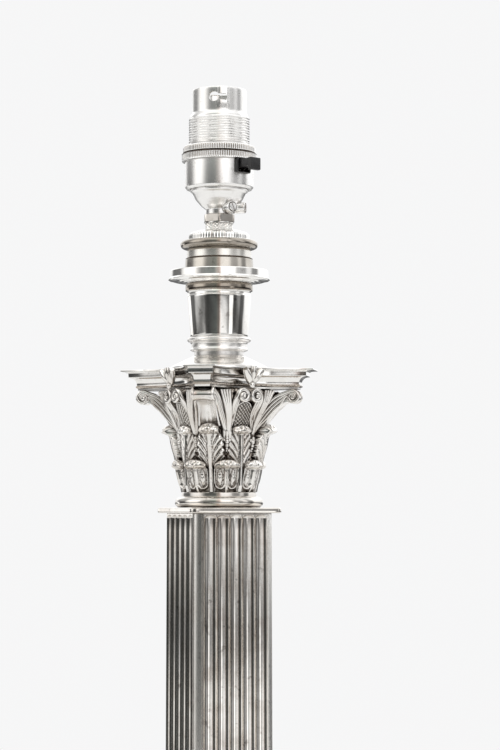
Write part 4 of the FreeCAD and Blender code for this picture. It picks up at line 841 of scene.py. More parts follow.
cl = [(16.0, 160.0, 0.05), (17.2, 160.0, 0.1)] + levels(17.4, 160.2, 163.4, 10) + [(17.1, 163.6, 0.1), (14.3, 163.6, 0.05), (14.3, 162.5, 0), (16.0, 162.5, 0)]
o = lathe("clamp_ring_shape", soft(cl, 0.1, 2), "satin_nickel", KNURL, ["clamp_ring"], seg=1200, mod=knurl(100, 0.34, 160.4, 163.3, 17.1, sharp=2.2))
sr = [(14.25, 163.9, 0), (16.6, 163.9, 0.1)] + levels(16.8, 164.1, 166.1, 8) + [(16.5, 166.6, 0.3), (15.9, 167.15, 0.3), (15.0, 167.5, 0.2), (14.25, 167.5, 0.05)]
# painted shadow on the clamp ring's top edge, in the gap under the shade ring, and painted shade in its knurl grooves
band(o, RECESS_SHADE, 163.2, 163.65, 14.0)
band(o, GROOVE_SHADE, 160.5, 163.2, 16.9, 17.24)
o = lathe("shade_ring_shape", soft(sr, 0.1, 2), "satin_nickel", KNURL, ["shade_ring"], body="shade_ring", seg=1152,
      mod=knurl(96, 0.34, 164.0, 166.9, 16.2, sharp=2.2))
# painted shadow on the shade ring's lower edge, in the gap over the clamp ring, and painted shade in its knurl grooves
band(o, RECESS_SHADE, 163.85, 164.15, 14.0)
band(o, GROOVE_SHADE, 164.2, 166.5, 16.3, 16.64)

# switch surrounds: black bezels with a hollow round the bar
parts = []
for side in (0, 180):
    outer = [(-4.2, 153.2), (4.2, 153.2), (4.2, 159.9), (-4.2, 159.9)]
    inner_ = [(-3.25, 153.65), (3.25, 153.65), (3.25, 159.65), (-3.25, 159.65)]

    def ring_pts(pts, r, nn=4):
        return [(y, z) for y, z in soft([(a, b, r) for a, b in pts], r, nn)]

    ro, ri = ring_pts(outer, 0.9), ring_pts(inner_, 0.7)
    ro_s = ring_pts([(-3.95, 153.45), (3.95, 153.45), (3.95, 159.65), (-3.95, 159.65)], 0.8)
    ri_s = ring_pts([(-3.4, 153.55), (3.4, 153.55), (3.4, 159.72), (-3.4, 159.72)], 0.7)
    loops = [([15.0] * 20, ri), ([17.2] * 20, ri), ([17.55] * 20, ri_s), ([17.55] * 20, ro_s), ([17.2] * 20, ro), ([0] * 20, ro), ([15.0] * 20, [(y * 0.82, 156.55 + (z - 156.55) * 0.9) for y, z in ro])]
    v, m = [], len(ro)
    for xs, lp in loops:
        for (x, (y, z)) in zip(xs, lp):
            if x == 0:
                x = math.sqrt(15.95 ** 2 - y * y)
            v.append((x, y, z + DECK))
    parts.append((turned_copy(np.array(v), -72 + side), grid(len(loops), m, True, True)))
v, f = merge(parts)
make("switch_surrounds_shape", v, f, BLACK, ["switch_surrounds"], angle=40)

# push bar: stem with a ribbed pad at each end
parts = [boxy(-18.4, -2.6, DECK + 155.7, 23.8, 2.6, DECK + 159.35, 0.25)]
for x0, x1, face in ((23.4, 25.7, 1), (-20.2, -17.9, -1)):
    rows = []
    ys = np.linspace(-2.95, 2.95, 61)
    prof = []
    for y in ys:
        edge = min(1.0, (2.95 - abs(y)) / 0.4)
        rib = 0.16 * (0.5 - 0.5 * math.cos(2 * math.pi * (y + 2.95) / 5.9 * 7))
        depth = 0.12 + rib * min(1, max(0, edge)) + 0.35 * (1 - math.sqrt(max(0, 1 - (1 - max(0, edge)) ** 2)))
        prof.append(depth)
    zl = [153.85, 153.95, 154.3, 156.6, 159.0, 159.35, 159.45]
    inset = [0.35, 0.12, 0.0, 0.0, 0.0, 0.12, 0.35]
    v = []
    back, front = (x0, x1) if face > 0 else (x1, x0)
    for z, ins in zip(zl, inset):
        for y, dpt in zip(ys, prof):
            v.append((front - face * (dpt + ins), y * (1 - ins * 0.12), z + DECK))
        for y in ys[::-1]:
            v.append((back + face * ins * 0.3, y * (1 - ins * 0.12), z + DECK))
    m = 2 * len(ys)
    f = grid(len(zl), m, False, True)
    f.append(tuple(range(m))[::-1])
    f.append(tuple((len(zl) - 1) * m + k for k in range(m)))
    parts.append((np.array(v), f))
v, f = merge(parts)
make("switch_bar_shape", turned_copy(v, -72), f, BLACK, ["switch_bar"], body="switch_bar", angle=30)

# ---- capital ----------------------------------------------------------------
def path_resample(pts, n, r=1.2):
    """Rounded polyline sampled evenly by length."""
    p = np.array(soft([(x, y, r if len(q_) == 0 else q_[0]) for x, y, *q_ in pts], r, 6, closed=False))
    d = np.concatenate([[0], np.cumsum(np.linalg.norm(np.diff(p, axis=0), axis=1))])
    s = np.linspace(0, d[-1], n)
    return np.stack([np.interp(s, d, p[:, 0]), np.interp(s, d, p[:, 1])], 1), s / d[-1]


def leaf_patch(beta, prof, width, relief, z_lip, tip_sag, n_s=130, n_u=49, round_tip=1.0, lip_drop=0.0):
    """A leaf standing on the bell: front follows prof (R, z), sides fall back to the bell."""
    pts, ss = path_resample(prof, n_s)
    u = np.linspace(-1, 1, n_u)
    turned_over = False
    rows = []
    for (R, z), s in zip(pts, ss):
        w = float(width(z, s, R))
        x = u * w
        on_tip = z >= z_lip and R > bell_r(min(z, 54)) + 0.2
        dome_ = 0.0
        if on_tip:
            turned_over = True
            dome_ = (z - z_lip)
        zz = np.full(n_u, z)
        if turned_over:
            zz = z_lip + (z - z_lip) * np.sqrt(np.clip(1 - (np.abs(u) ** 2.2) * round_tip, 0.02, 1)) - lip_drop * u ** 2
        Rr = R - tip_sag * (u ** 2) * float(smooth_step(R - bell_r(min(z, 54)), 1.5, 3.5))
        Rr = Rr + relief(x, z, s, w, turned_over)
        b_in = np.array([bell_r(float(q_)) for q_ in zz]) - 0.25
        Rr = np.maximum(Rr, b_in + 0.05)
        edge = np.clip((1 - np.abs(u)) / 0.10, 0, 1)
        Rr = b_in + (Rr - b_in) * (0.25 + 0.75 * np.sqrt(1 - (1 - edge) ** 2))
        ang = rad(beta) + x / np.maximum(R, 5)
        front = np.stack([Rr * np.cos(ang), Rr * np.sin(ang), zz + DECK], 1)
        a2, r2, z2 = ang[::-6], b_in[::-6], zz[::-6]
        back = np.stack([(r2 - 0.3) * np.cos(a2), (r2 - 0.3) * np.sin(a2), z2 + DECK], 1)
        rows.append(np.concatenate([front, back]))
    m = len(rows[0])
    v = np.array(rows).reshape(-1, 3)
    f = grid(n_s, m, False, True)
    f.append(tuple(range(m))[::-1])
    f.append(tuple((n_s - 1) * m + k for k in range(m)))
    return v, f


def bump_line(d, half):
    return np.clip(1 - (np.abs(d) / half) ** 2, 0, 1)


def tip_relief(x, z, w, z_lip, top):
    """Curled-over tip: two eyelets, a middle nib and a scalloped fringe."""
    h = (z - z_lip) / max(top - z_lip, 0.1)
    r = np.zeros_like(x)
    for sgn in (-1, 1):
        d2 = ((x - sgn * 1.35) / 0.62) ** 2 + ((h - 0.55) / 0.22) ** 2
        r -= 0.75 * np.exp(-d2)
        d3 = ((x - sgn * 2.9) / 0.55) ** 2 + ((h - 0.38) / 0.20) ** 2
        r -= 0.50 * np.exp(-d3)
    r += 0.28 * np.exp(-(x / 0.55) ** 2) * h
    r -= 0.05 * (0.5 - 0.5 * np.cos(2 * math.pi * x / 1.5)) * (h < 0.35)
    return r


def lower_relief(x, z, s, w, over):
    if over:
        return tip_relief(x, z, w, 19.0, 21.9)
    r = np.zeros_like(x)
    for sgn in (-1, 1):
        cx = sgn * w * 0.5
        zb = 11.2
        if z > zb:
            e = np.abs(x - cx)
        else:
            e = np.sqrt((x - cx) ** 2 + (z - zb) ** 2 * 0.75)
        rim = w * 0.39
        r += 0.58 * bump_line(e - rim, 0.68)
        inside = e < rim
        r -= 0.85 * np.clip((rim - e) / 0.8, 0, 1) * inside
        egg = ((x - cx) / (rim * 0.54)) ** 2 + ((z - 13.6) / 3.9) ** 2
        r += 1.05 * np.sqrt(np.clip(1 - egg, 0, 1))
        vein = np.abs(((z - 1.3 * np.abs(x - cx)) / 1.5) % 1.0 - 0.5) * 2
        r -= 0.22 * vein * (egg < 1.15)
        out = np.clip((e - rim - 0.3) / 0.5, 0, 1)
        r -= 0.45 * out * (np.abs(x) > 0.5)
    r += 0.25 * bump_line(x, 0.4) * float(smooth_step(z, 8, 12))
    r -= 0.5 * (1 - float(smooth_step(z, 7.1, 8.6)))
    return r


def upper_relief(z_lip, top, rib):
    def f(x, z, s, w, over):
        if over:
            return tip_relief(x, z, w, z_lip, top)
        r = 0.85 * bump_line(x, rib) ** 0.6 * (1 - 0.35 * float(smooth_step(z, 26, 33)))
        r += -0.30 * bump_line(np.abs(x) - rib - 0.25, 0.35)
        lf = np.clip((np.abs(x) - rib - 0.3) / 0.4, 0, 1)
        lean = 2.05 * np.abs(x) - 0.10 * x * x
        q_ = (z - lean) / 3.7
        ridge = np.abs(np.sin(math.pi * q_)) ** 0.7
        split = (q_ % 1.0)
        fine = 0.10 * np.abs(np.sin(math.pi * (z - lean) / 1.233))
        eye_ = np.clip(1 - (((q_ % 1.0) - 0.02) / 0.16) ** 2 - ((np.abs(x) / max(w, 0.1) - 0.62) / 0.2) ** 2, 0, 1)
        r += lf * (0.95 * ridge - 0.70 + fine - 0.1 - 0.6 * eye_) * float(smooth_step(z, 15.0, 20.0))
        r += lf * 0.35 * np.clip(np.abs(x) / max(w, 0.1) - 0.55, 0, 1) * float(smooth_step(z, 20, 25))
        _ = split
        return r
    return f


def lower_width(z, s, R):
    base = 5.5 + 1.1 * float(smooth_step(z, 7.0, 14.0))
    return base + (0.2 if z > 18.3 else 0.0) - 0.5 * float(smooth_step(z, 20.8, 21.9))


def upper_width(wide, tip):
    def f(z, s, R):
        w = 1.75 + (wide - 1.75) * float(smooth_step(z, 17.5, 23.5))
        if 20 < z < 33:
            w *= 1 + 0.055 * math.sin(2 * math.pi * (z - 20) / 2.6)
        w -= (wide - tip) * float(smooth_step(z, 31.0, 34.3))
        return w
    return f


parts = []
LOWP = [(17.2, 7.1), (18.0, 9.5), (19.0, 13.0), (19.7, 16.2), (19.9, 17.5, 0.3), (21.3, 18.35, 0.2), (21.95, 18.95, 0.2), (21.95, 20.1, 0.8), (20.9, 21.45, 1), (19.3, 21.9, 1), (17.2, 21.2, 0.5)]
for k in range(8):
    parts.append(leaf_patch(TURN + 22.5 + 45 * k, LOWP, lower_width, lower_relief, 19.0, 1.3, lip_drop=0.25))
v, f = merge(parts)
make("lower_leaves_shape", v, f, RELIEF, ["lower_leaves"], angle=50)

parts = []
FACEP = [(16.6, 7.1), (17.5, 10.0), (17.9, 17.0), (18.2, 24.0), (18.6, 30.0), (18.8, 33.2, 0.3), (20.4, 34.1, 0.2), (20.95, 34.6, 0.2), (20.9, 35.8, 0.6), (20.1, 37.1, 0.8), (19.0, 37.6, 0.8), (17.6, 37.2, 0.5)]
for k in range(4):
    parts.append(leaf_patch(TURN + 90 * k, FACEP, upper_width(6.6, 5.7), upper_relief(34.6, 37.6, 1.05), 34.6, 0.9, n_s=190, lip_drop=0.3))
v, f = merge(parts)
make("face_leaves_shape", v, f, RELIEF, ["face_leaves"], angle=50)

parts = []
CORNP = [(17.0, 7.1), (17.9, 12.0), (19.0, 17.5), (20.6, 24.0), (22.0, 28.5), (22.9, 32.2), (23.4, 33.2, 0.3), (26.0, 34.2, 0.2), (26.95, 34.95, 0.2), (26.85, 36.2, 0.7), (25.3, 37.7, 1.0), (23.4, 38.2, 1.0), (21.0, 37.6, 1.0), (19.0, 36.2, 0.5)]
for k in range(4):
    parts.append(leaf_patch(TURN + 45 + 90 * k, CORNP, upper_width(6.9, 5.2), upper_relief(35.0, 38.2, 1.15), 35.0, 1.6, n_s=210, lip_drop=0.3))
v, f = merge(parts)
make("corner_leaves_shape", v, f, RELIEF, ["corner_leaves"], angle=50)


def spline(points, n=60):
    """Catmull-Rom through the points, n samples per span pair, evenly spread."""
    p = np.asarray(points, float)
    p = np.concatenate([[2 * p[0] - p[1]], p, [2 * p[-1] - p[-2]]])
    out = []
    for i in range(1, len(p) - 2):
        for t_ in np.linspace(0, 1, 12, endpoint=False):
            a, b, c, d = p[i - 1], p[i], p[i + 1], p[i + 2]
            out.append(0.5 * ((2 * b) + (c - a) * t_ + (2 * a - 5 * b + 4 * c - d) * t_ ** 2 + (3 * b - a - 3 * c + d) * t_ ** 3))
    out.append(p[-2])
    out = np.array(out)
    L = np.concatenate([[0], np.cumsum(np.linalg.norm(np.diff(out, axis=0), axis=1))])
    s = np.linspace(0, L[-1], n)
    return np.stack([np.interp(s, L, out[:, i]) for i in range(out.shape[1])], 1)


def framed(points, deg, r_off=0.0):
    """(R, off, z) points in the vertical plane at deg, into the row frame."""
    p = np.asarray(points, float)
    c, s_ = math.cos(rad(deg)), math.sin(rad(deg))
    return np.stack([p[:, 0] * c - p[:, 1] * s_, p[:, 0] * s_ + p[:, 1] * c, p[:, 2] + DECK], 1)


EYE = (35.1, 50.4)
fronts = []
parts = []
for k in range(4):
    g = TURN + 45 + 90 * k
    # roll: waisted cylinder with a button at each end
    offs = [-5.1, -5.0, -4.7, -4.45, -4.3] + list(np.linspace(-4.2, 4.2, 25)) + [4.3, 4.45, 4.7, 5.0, 5.1]
    rows = []
    for o_ in offs:
        if abs(o_) > 4.35:
            r_ = 1.35 * math.sqrt(max(0.02, 1 - ((abs(o_) - 4.35) / 0.76) ** 2))
        else:
            r_ = 2.30 + 0.55 * (abs(o_) / 4.3) ** 2.2
        rows.append([(EYE[0] + r_ * math.cos(a), o_, EYE[1] + r_ * math.sin(a)) for a in np.linspace(0, 2 * math.pi, 40, endpoint=False)])
    v = framed(np.array(rows).reshape(-1, 3), g)
    f = grid(len(offs), 40, False, True)
    f += [tuple(range(40))[::-1], tuple((len(offs) - 1) * 40 + i for i in range(40))]
    parts.append((v, f))
    # concave front leaf and the body behind it
    front = spline([(21.6, 36.9), (22.9, 39.2), (24.8, 42.4), (27.6, 45.5), (30.8, 47.7), (33.6, 48.55)], 40)
    back_ = spline([(17.4, 36.0), (18.6, 40.2), (21.0, 45.0), (25.2, 49.6), (29.4, 52.2), (33.2, 53.0)], 40)
    rows = []
    for i, ((fr_, fz), (br_, bz)) in enumerate(zip(front, back_)):
        t_ = i / 39
        hw = 5.05 - 0.45 * math.sin(math.pi * min(1, t_ * 1.15)) - 0.35 * t_
        us = np.linspace(-1, 1, 31)
        n_dir = np.array((bz - fz, -(br_ - fr_)))
        d_ = np.array((fr_ - br_, fz - bz))
        d_ = d_ / np.linalg.norm(d_)
        row = []
        for u_ in us:
            push = -0.75 * (1 - u_ * u_) + 0.55 * math.exp(-(u_ * hw / 0.95) ** 4) * (1 - float(smooth_step(t_, 0.42, 0.62))) + 0.55 * math.exp(-((abs(u_) - 0.86) / 0.10) ** 2)
            row.append((fr_ + d_[0] * push, u_ * hw, fz + d_[1] * push))
        for w_ in (0.35, 0.7):
            row.append((fr_ + (br_ - fr_) * w_, hw * 0.93, fz + (bz - fz) * w_))
        row += [(br_, hw * 0.85, bz), (br_, 0, bz), (br_, -hw * 0.85, bz)]
        for w_ in (0.7, 0.35):
            row.append((fr_ + (br_ - fr_) * w_, -hw * 0.93, fz + (bz - fz) * w_))
        rows.append(row)
    m = len(rows[0])
    v = framed(np.array(rows).reshape(-1, 3), g)
    f = grid(len(rows), m, False, True)
    f += [tuple(range(m))[::-1], tuple((len(rows) - 1) * m + i for i in range(m))]
    fronts.append((sum(len(q_[1]) for q_ in parts), len(f)))
    parts.append((v, f))
    for sgn in (-1, 1):
        # reeded strands that climb from the stalk and wind round the eye
        for j, (drop, r0, r1) in enumerate(((0.0, 0.98, 0.55), (1.6, 0.90, 0.52), (3.1, 0.84, 0.48), (4.5, 0.76, 0.45))):
            pts = [(16.9 - 0.1 * j, 7.5 - 0.35 * j, 33.4), (17.9 + 0.35 * drop, 7.3 - 0.55 * j * 0.9, 37.6 - 0.1 * drop), (20.0 + 0.62 * drop, 6.7 - 0.4 * j, 42.4 - 0.45 * drop),
                   (23.4 + 0.62 * drop, 5.8 - 0.2 * j, 46.9 - 0.62 * drop), (27.6 + 0.42 * drop, 5.0, 50.6 - 0.80 * drop)]
            if j == 0:
                spiral = [(125 - 36 * i, 3.05 - 0.145 * i) for i in range(0, 15)]
            elif j == 1:
                spiral = [(150, 3.0), (115, 2.25), (75, 2.05), (30, 1.95)]
            else:
                spiral = [(175, 2.9 + 0.2 * (j - 2)), (205, 2.55 + 0.15 * (j - 2)), (245, 2.3)]
            pts += [(EYE[0] + r_ * math.cos(rad(a_2)), 4.45 + 0.02 * i, EYE[1] + r_ * math.sin(rad(a_2))) for i, (a_2, r_) in enumerate(spiral)]
            p = spline(pts, 110 if j == 0 else 70)
            p[:, 1] *= sgn
            q_ = np.linspace(0, 1, len(p))
            parts.append(tube(framed(p, g), r0 + (r1 - r0) * q_ ** 1.5, 10))
        for k_ in range(4):
            p = spline([(17.0, 7.4 + 0.15 * k_, 33.6), (19.1 - 0.15 * k_, 7.9 + 0.3 * k_, 38.6), (21.4 - 0.3 * k_, 7.9 + 0.5 * k_, 43.4),
                        (24.0 - 0.55 * k_, 7.3 + 0.75 * k_, 48.0), (26.0 - 0.85 * k_, 6.6 + 1.05 * k_, 52.0), (26.6 - 0.95 * k_, 6.4 + 1.1 * k_, 53.3)], 44)
            p[:, 1] *= sgn
            parts.append(tube(framed(p, g), 0.55 + 0.42 * np.sin(np.linspace(0.35, 2.6, 44)), 10))
        # small leaf tongues between the top strand and the roll
        for i in range(7):
            t_ = i / 6
            c = spline([(20.6, 6.4, 43.6), (24.4, 5.5, 47.6), (29.2, 4.8, 50.7)], 7)[i]
            c = c * np.array((1, sgn, 1)) + np.array((0.35, 0, -0.75))
            cc = framed([c], g)[0]
            parts.append(ball(cc, 0.62 - 0.18 * t_, 12, 8))
        # reeded bud at the foot of the stalk
        for j in range(3):
            a = g + sgn * (22.5 + (j - 1) * 4.0)
            p = spline([(18.1, 0, 30.9 + 0.5 * abs(j - 1)), (18.7, 0, 33.0), (19.1, 0, 35.2), (19.0, 0, 37.4)], 16)
            if sgn > 0:
                parts.append(tube(framed(p, a), 0.55 + 0.35 * np.sin(np.linspace(0.3, 2.4, 16)), 10))
        a = g + sgn * 22.5
        if sgn > 0:
            for dz, rr_ in ((37.3, 1.0),):
                for j in range(5):
                    b_ = a + (j - 2) * 2.6
                    parts.append(ball(framed([(19.3 - 0.08 * (j - 2) ** 2, 0, dz)], b_)[0], 0.62, 12, 8))
v, f = merge(parts)
o = make("corner_volutes_shape", v, f, RELIEF, ["corner_volutes"], angle=55)
o.data.materials.append(STEM)
for first, count in fronts:
    for i in range(first, first + count):
        o.data.polygons[i].material_index = 1

parts = []
for k in range(4):
    g = TURN + 90 * k
    for sgn in (-1, 1):
        for j, (dr_, r0, r1) in enumerate(((0.0, 1.1, 0.95), (1.15, 0.85, 0.58), (2.1, 0.7, 0.45))):
            base = [(17.2, 7.1 - dr_ * 0.45, 34.5), (18.3, 6.9 - dr_ * 0.9, 38.5), (19.9, 6.5 - dr_ * 0.95, 43.0), (22.2, 6.9 - dr_, 46.2), (24.2, 6.9 - dr_, 49.0)]
            if j == 0:
                cx, cz = 3.55, 50.3
                base += [(25.2, 5.9, 51.9)] + [(25.5 + 0.05 * i, cx + (3.0 - 0.22 * i) * math.cos(rad(80 + 40 * i)), cz + (3.0 - 0.22 * i) * math.sin(rad(80 + 40 * i))) for i in range(0, 11)]
            elif j == 1:
                base += [(24.9, 3.6, 51.4), (25.3, 2.7, 51.9)]
            p = spline(base, 100 if j == 0 else 50)
            p[:, 1] *= sgn
            q_ = np.linspace(0, 1, len(p))
            parts.append(tube(framed(p, g), r0 + (r1 - r0) * q_, 10))
        parts.append(ball(framed([(25.9, sgn * 3.55, 50.3)], g)[0], 1.0, 14, 10))
        # backing that carries the strands to the bell
        rows = []
        for t_ in np.linspace(0, 1, 24):
            z_ = 35.5 + 17.5 * t_
            r_o = 18.0 + 4.9 * t_ ** 1.35
            xo, xi = 7.0 - 1.9 * t_, 5.2 - 1.5 * t_
            rows.append([(r_o, xo * sgn, z_), (r_o, xi * sgn, z_), (bell_r(z_) - 0.8, xi * sgn * 0.9, z_), (bell_r(z_) - 0.8, xo * sgn * 0.9, z_)])
        v = framed(np.array(rows).reshape(-1, 3), g)
        f = grid(24, 4, False, True) + [(3, 2, 1, 0), tuple(23 * 4 + i for i in range(4))]
        parts.append((v, f))
v, f = merge(parts)
make("inner_scrolls_shape", v, f, RELIEF, ["inner_scrolls"], angle=55)

parts = []
for k in range(4):
    g = TURN + 90 * k
    nx, nz = 72, 80
    rows = []
    for i in range(nx + 1):
        col = []
        u_ = -1 + 2 * i / nx
        x = u_ * 4.45
        top = 43.0 + 4.9 * math.sqrt(max(0.0, 1 - (x / 4.6) ** 2))
        for j in range(nz + 1):
            z_ = 36.4 + (top - 36.4) * j / nz
            h = 0.8 * max(abs(math.cos(math.pi * (x + z_) / 1.7)), abs(math.cos(math.pi * (x - z_) / 1.7))) ** 4
            edge = min(1.0, (1 - abs(u_)) / 0.08, (nz - j) / 6)
            R = bell_r(z_) + 0.55 + 0.75 * math.cos(u_ * 1.2) + h * edge
            R = bell_r(z_) + (R - bell_r(z_)) * max(0.0, math.sqrt(max(0.0, 1 - (1 - max(edge, 0.0)) ** 2)))
            col.append((math.sqrt(max(1.0, R * R - x * x)), x, z_))
        col += [(bell_r(col[-1][2]) - 1.2, x * 0.95, col[-1][2]), (bell_r(36.4) - 1.2, x * 0.95, 36.4)]
        rows.append(col)
    m = len(rows[0])
    v = framed(np.array(rows).reshape(-1, 3), g)
    f = grid(nx + 1, m, False, True) + [tuple(range(m))[::-1], tuple(nx * m + i for i in range(m))]
    parts.append((v, f))
    rim = []
    for a in np.linspace(-28, 208, 50):
        x = 4.55 * math.cos(rad(a))
        z_ = 43.0 + (4.95 if a > 0 and a < 180 else 8.0) * math.sin(rad(a))
        R = bell_r(z_) + 0.95 + 0.45 * math.cos(x / 4.6)
        rim.append((math.sqrt(R * R - x * x), x, z_))
    parts.append(tube(framed(rim, g), 0.36, 10))
v, f = merge(parts)
make("shields_shape", v, f, LATTICE, ["shields"], angle=50)

parts = []
for k in range(8):
    g = TURN + 22.5 + 45 * k
    for R, z_, r_ in ((18.4, 29.9, 1.15), (18.2, 28.2, 0.95), (17.9, 26.8, 0.75), (17.6, 25.7, 0.55)):
        parts.append(ball(framed([(R, 0, z_)], g)[0], r_, 18, 12))
    for sgn in (-1, 1):
        parts.append(ball(framed([(18.2, sgn * 1.25, 30.6)], g)[0], 0.85, 16, 10))
    parts.append(ball(framed([(18.6, 0, 31.5)], g)[0], 0.95, 16, 10))
v, f = merge(parts)
make("berry_drops_shape", v, f, RELIEF, ["berry_drops"], angle=60)

# abacus: concave sides, cut corners, thin slab over a cavetto, roll and fillet
ROOT2 = math.sqrt(0.5)


def abacus_ring(inset, z, n_arc=220, n_cut=24):
    reach = 45.0 - inset
    cut = max(2.5, 7.2 - 0.5 * inset)
    a, b = (reach - cut) * ROOT2, (reach + cut) * ROOT2
    if inset > 38:
        a, b = 1, 2
    pts = []
    R = 41.0
    bead = max(0.0, math.sin(math.pi * (z - DECK - 54.95) / 1.3)) if 55.0 <= z - DECK <= 56.2 else 0.0
    cx = b + math.sqrt(R * R - a * a)
    half = math.asin(a / R)
    for k in range(4):
        side = []
        for i in range(n_arc):
            q_ = -half + 2 * half * i / n_arc
            swell = 0.32 * bead * abs(math.sin(math.pi * i / 5.5))
            side.append((cx - (R - swell) * math.cos(q_), (R - swell) * math.sin(q_)))
        for i in range(n_cut):
            t_ = i / n_cut
            side.append((b + (a - b) * t_, a + (b - a) * t_))
        c, s_ = round(math.cos(math.pi / 2 * k)), round(math.sin(math.pi / 2 * k))
        pts += [(x * c - y * s_, x * s_ + y * c, z) for x, y in side]
    return pts


aba = [(9.5, 54.03, 0), (7.5, 54.03, 0.15), (7.4, 54.9, 0.15), (6.95, 55.0, 0.1)]
aba += [(6.95 - 0.5 * math.sin(math.pi * k / 10), 55.0 + 1.2 * k / 10, 0) for k in range(1, 10)]
aba += [(6.95, 56.2, 0.1), (7.0, 56.4, 0.1)]
aba += [(7.0 - 3.0 * (1 - math.cos(math.pi / 2 * k / 12)), 56.4 + 3.4 * math.sin(math.pi / 2 * k / 12), 0) for k in range(1, 13)]
aba += [(3.5, 59.9, 0.1), (3.4, 60.15, 0.12), (3.3, 62.0, 0.3), (2.6, 62.45, 0.3), (0.3, 62.6, 0.1), (0.0, 62.75, 0.1), (0.0, 63.2, 0.15), (0.3, 63.4, 0.15), (3.5, 63.4, 0.3),
        (6.0, 63.3, 1), (26.0, 63.3, 0)]
prof = soft(aba, 0.15, 3)
rows = [abacus_ring(i_, z_ + DECK) for i_, z_ in prof]
n_r = len(rows[0])
hole_top = []
outer = np.array(rows).transpose(1, 0, 2)
centre_top = outer[:, -1, :].copy()
centre_low = outer[:, 0, :].copy()
for arr, z_ in ((centre_top, 63.2), (centre_low, 54.03)):
    a = np.arctan2(arr[:, 1], arr[:, 0])
    arr[:, 0], arr[:, 1], arr[:, 2] = 5.15 * np.cos(a), 5.15 * np.sin(a), z_ + DECK
full = np.concatenate([centre_low[:, None, :], outer, centre_top[:, None, :]], axis=1)
v = turned_copy(full.reshape(-1, 3), TURN)
o = make("abacus_shape", v, grid(n_r, full.shape[1], True, True), TURNED, ["abacus"], angle=36)
band(o, GROUND, 54.9, 56.3, 18.0)

parts = []
for k in range(4):
    g = TURN + 90 * k
    parts.append(ball(framed([(27.0, 0, 55.35)], g)[0], 1.45, 24, 16))
    for sgn in (-1, 1):
        p = spline([(26.0, 0.35 * sgn, 55.9), (26.8, 1.4 * sgn, 58.0), (27.6, 2.9 * sgn, 60.2), (28.2, 4.1 * sgn, 61.7), (28.6, 4.7 * sgn, 62.5)], 26)
        w_ = 0.45 + 1.45 * np.sin(np.linspace(0.25, 2.75, 26)) ** 0.8
        parts.append(tube(framed(p, g), w_, 16))
        p = spline([(26.2, 0.9 * sgn, 56.6), (26.8, 2.0 * sgn, 58.0), (27.0, 3.0 * sgn, 59.0)], 14)
        parts.append(tube(framed(p, g), 0.3 + 0.45 * np.sin(np.linspace(0.3, 2.9, 14)), 12))
    p = spline([(26.3, 0, 56.4), (27.3, 0, 59.0), (28.2, 0, 61.8), (28.5, 0, 63.6)], 20)
    parts.append(tube(framed(p, g), 0.5 + 0.95 * np.sin(np.linspace(0.3, 2.6, 20)), 12))
v, f = merge(parts)
make("fleurons_shape", v, f, RELIEF, ["fleurons"], angle=60)


# ---- floor, light and camera ------------------------------------------------
CAM_DIR = np.array((-0.3907, -0.9205, 0.0))
CAM_RIGHT = np.array((0.9205, -0.3907, 0.0))
fm, ft = material("pale_floor")
fo = add(ft, "ShaderNodeOutputMaterial")
fb = add(ft, "ShaderNodeBsdfPrincipled")
ft.links.new(fb.outputs[0], fo.inputs[0])
fc = add(ft, "ShaderNodeTexCoord").outputs["Object"]
ft.links.new(mixed(ft, noise(ft, fc, 6.0, 3.0), (0.77, 0.77, 0.765), (0.82, 0.82, 0.815)), fb.inputs["Base Color"])
fr = calc(ft, "MULTIPLY_ADD", noise(ft, fc, 40.0, 3.0), 0.2)
ft.nodes[-1].inputs[2].default_value = 0.5
ft.links.new(fr, fb.inputs["Roughness"])
fme = bpy.data.meshes.new("floor")
fme.from_pydata([(1.5 * math.cos(rad(a)), 1.5 * math.sin(rad(a)), 0) for a in range(0, 360, 3)], [], [tuple(range(120))])
floor = bpy.data.objects.new("floor", fme)
bpy.context.scene.collection.objects.link(floor)
fme.materials.append(fm)

world = bpy.data.worlds.new("studio")
bpy.context.scene.world = world
world.use_nodes = True
wt = world.node_tree
wt.nodes.clear()
wo = add(wt, "ShaderNodeOutputWorld")
lit = add(wt, "ShaderNodeBackground")
seen = add(wt, "ShaderNodeBackground")
pick = add(wt, "ShaderNodeMixShader")
path_ = add(wt, "ShaderNodeLightPath")
wt.links.new(path_.outputs["Is Camera Ray"], pick.inputs[0])
wt.links.new(lit.outputs[0], pick.inputs[1])
wt.links.new(seen.outputs[0], pick.inputs[2])
wt.links.new(pick.outputs[0], wo.inputs[0])
seen.inputs[0].default_value = (0.925, 0.925, 0.928, 1)
seen.inputs[1].default_value = 1.0
co = add(wt, "ShaderNodeTexCoord").outputs["Generated"]


def dot(vec):
    d = add(wt, "ShaderNodeVectorMath", operation="DOT_PRODUCT")
    wt.links.new(co, d.inputs[0])
    d.inputs[1].default_value = vec
    return d.outputs["Value"]


side_v, front_v, up_v = dot(tuple(CAM_RIGHT)), dot(tuple(CAM_DIR)), dot((0, 0, 1))
ang = calc(wt, "ARCTAN2", side_v, front_v)
fac = calc(wt, "MULTIPLY_ADD", ang, 1 / (2 * math.pi))
wt.nodes[-1].inputs[2].default_value = 0.5


def a_(deg):
    return (deg + 180.0) / 360.0


# light seen from the lamp, by direction: 0 is towards the camera, + to its right
ROUND = [(-180, 1.0), (-146, 1.0), (-135, 0.14), (-103, 0.10), (-94, 0.85), (-82, 1.2), (-60, 1.15), (-50, 0.4), (-42, 0.09), (-11, 0.08), (-7, 0.28),
         (1, 0.34), (6, 1.2), (30, 1.25), (38, 0.9), (42, 0.40), (51, 0.30), (64, 0.3), (69, 0.75), (78, 0.8), (85, 0.16), (99, 0.16), (107, 1.1), (165, 1.1),
         (180, 1.0)]
horizon = ramp(wt, fac, [(a_(d), v) for d, v in ROUND])
el = calc(wt, "MULTIPLY_ADD", up_v, 0.5)
wt.nodes[-1].inputs[2].default_value = 0.5
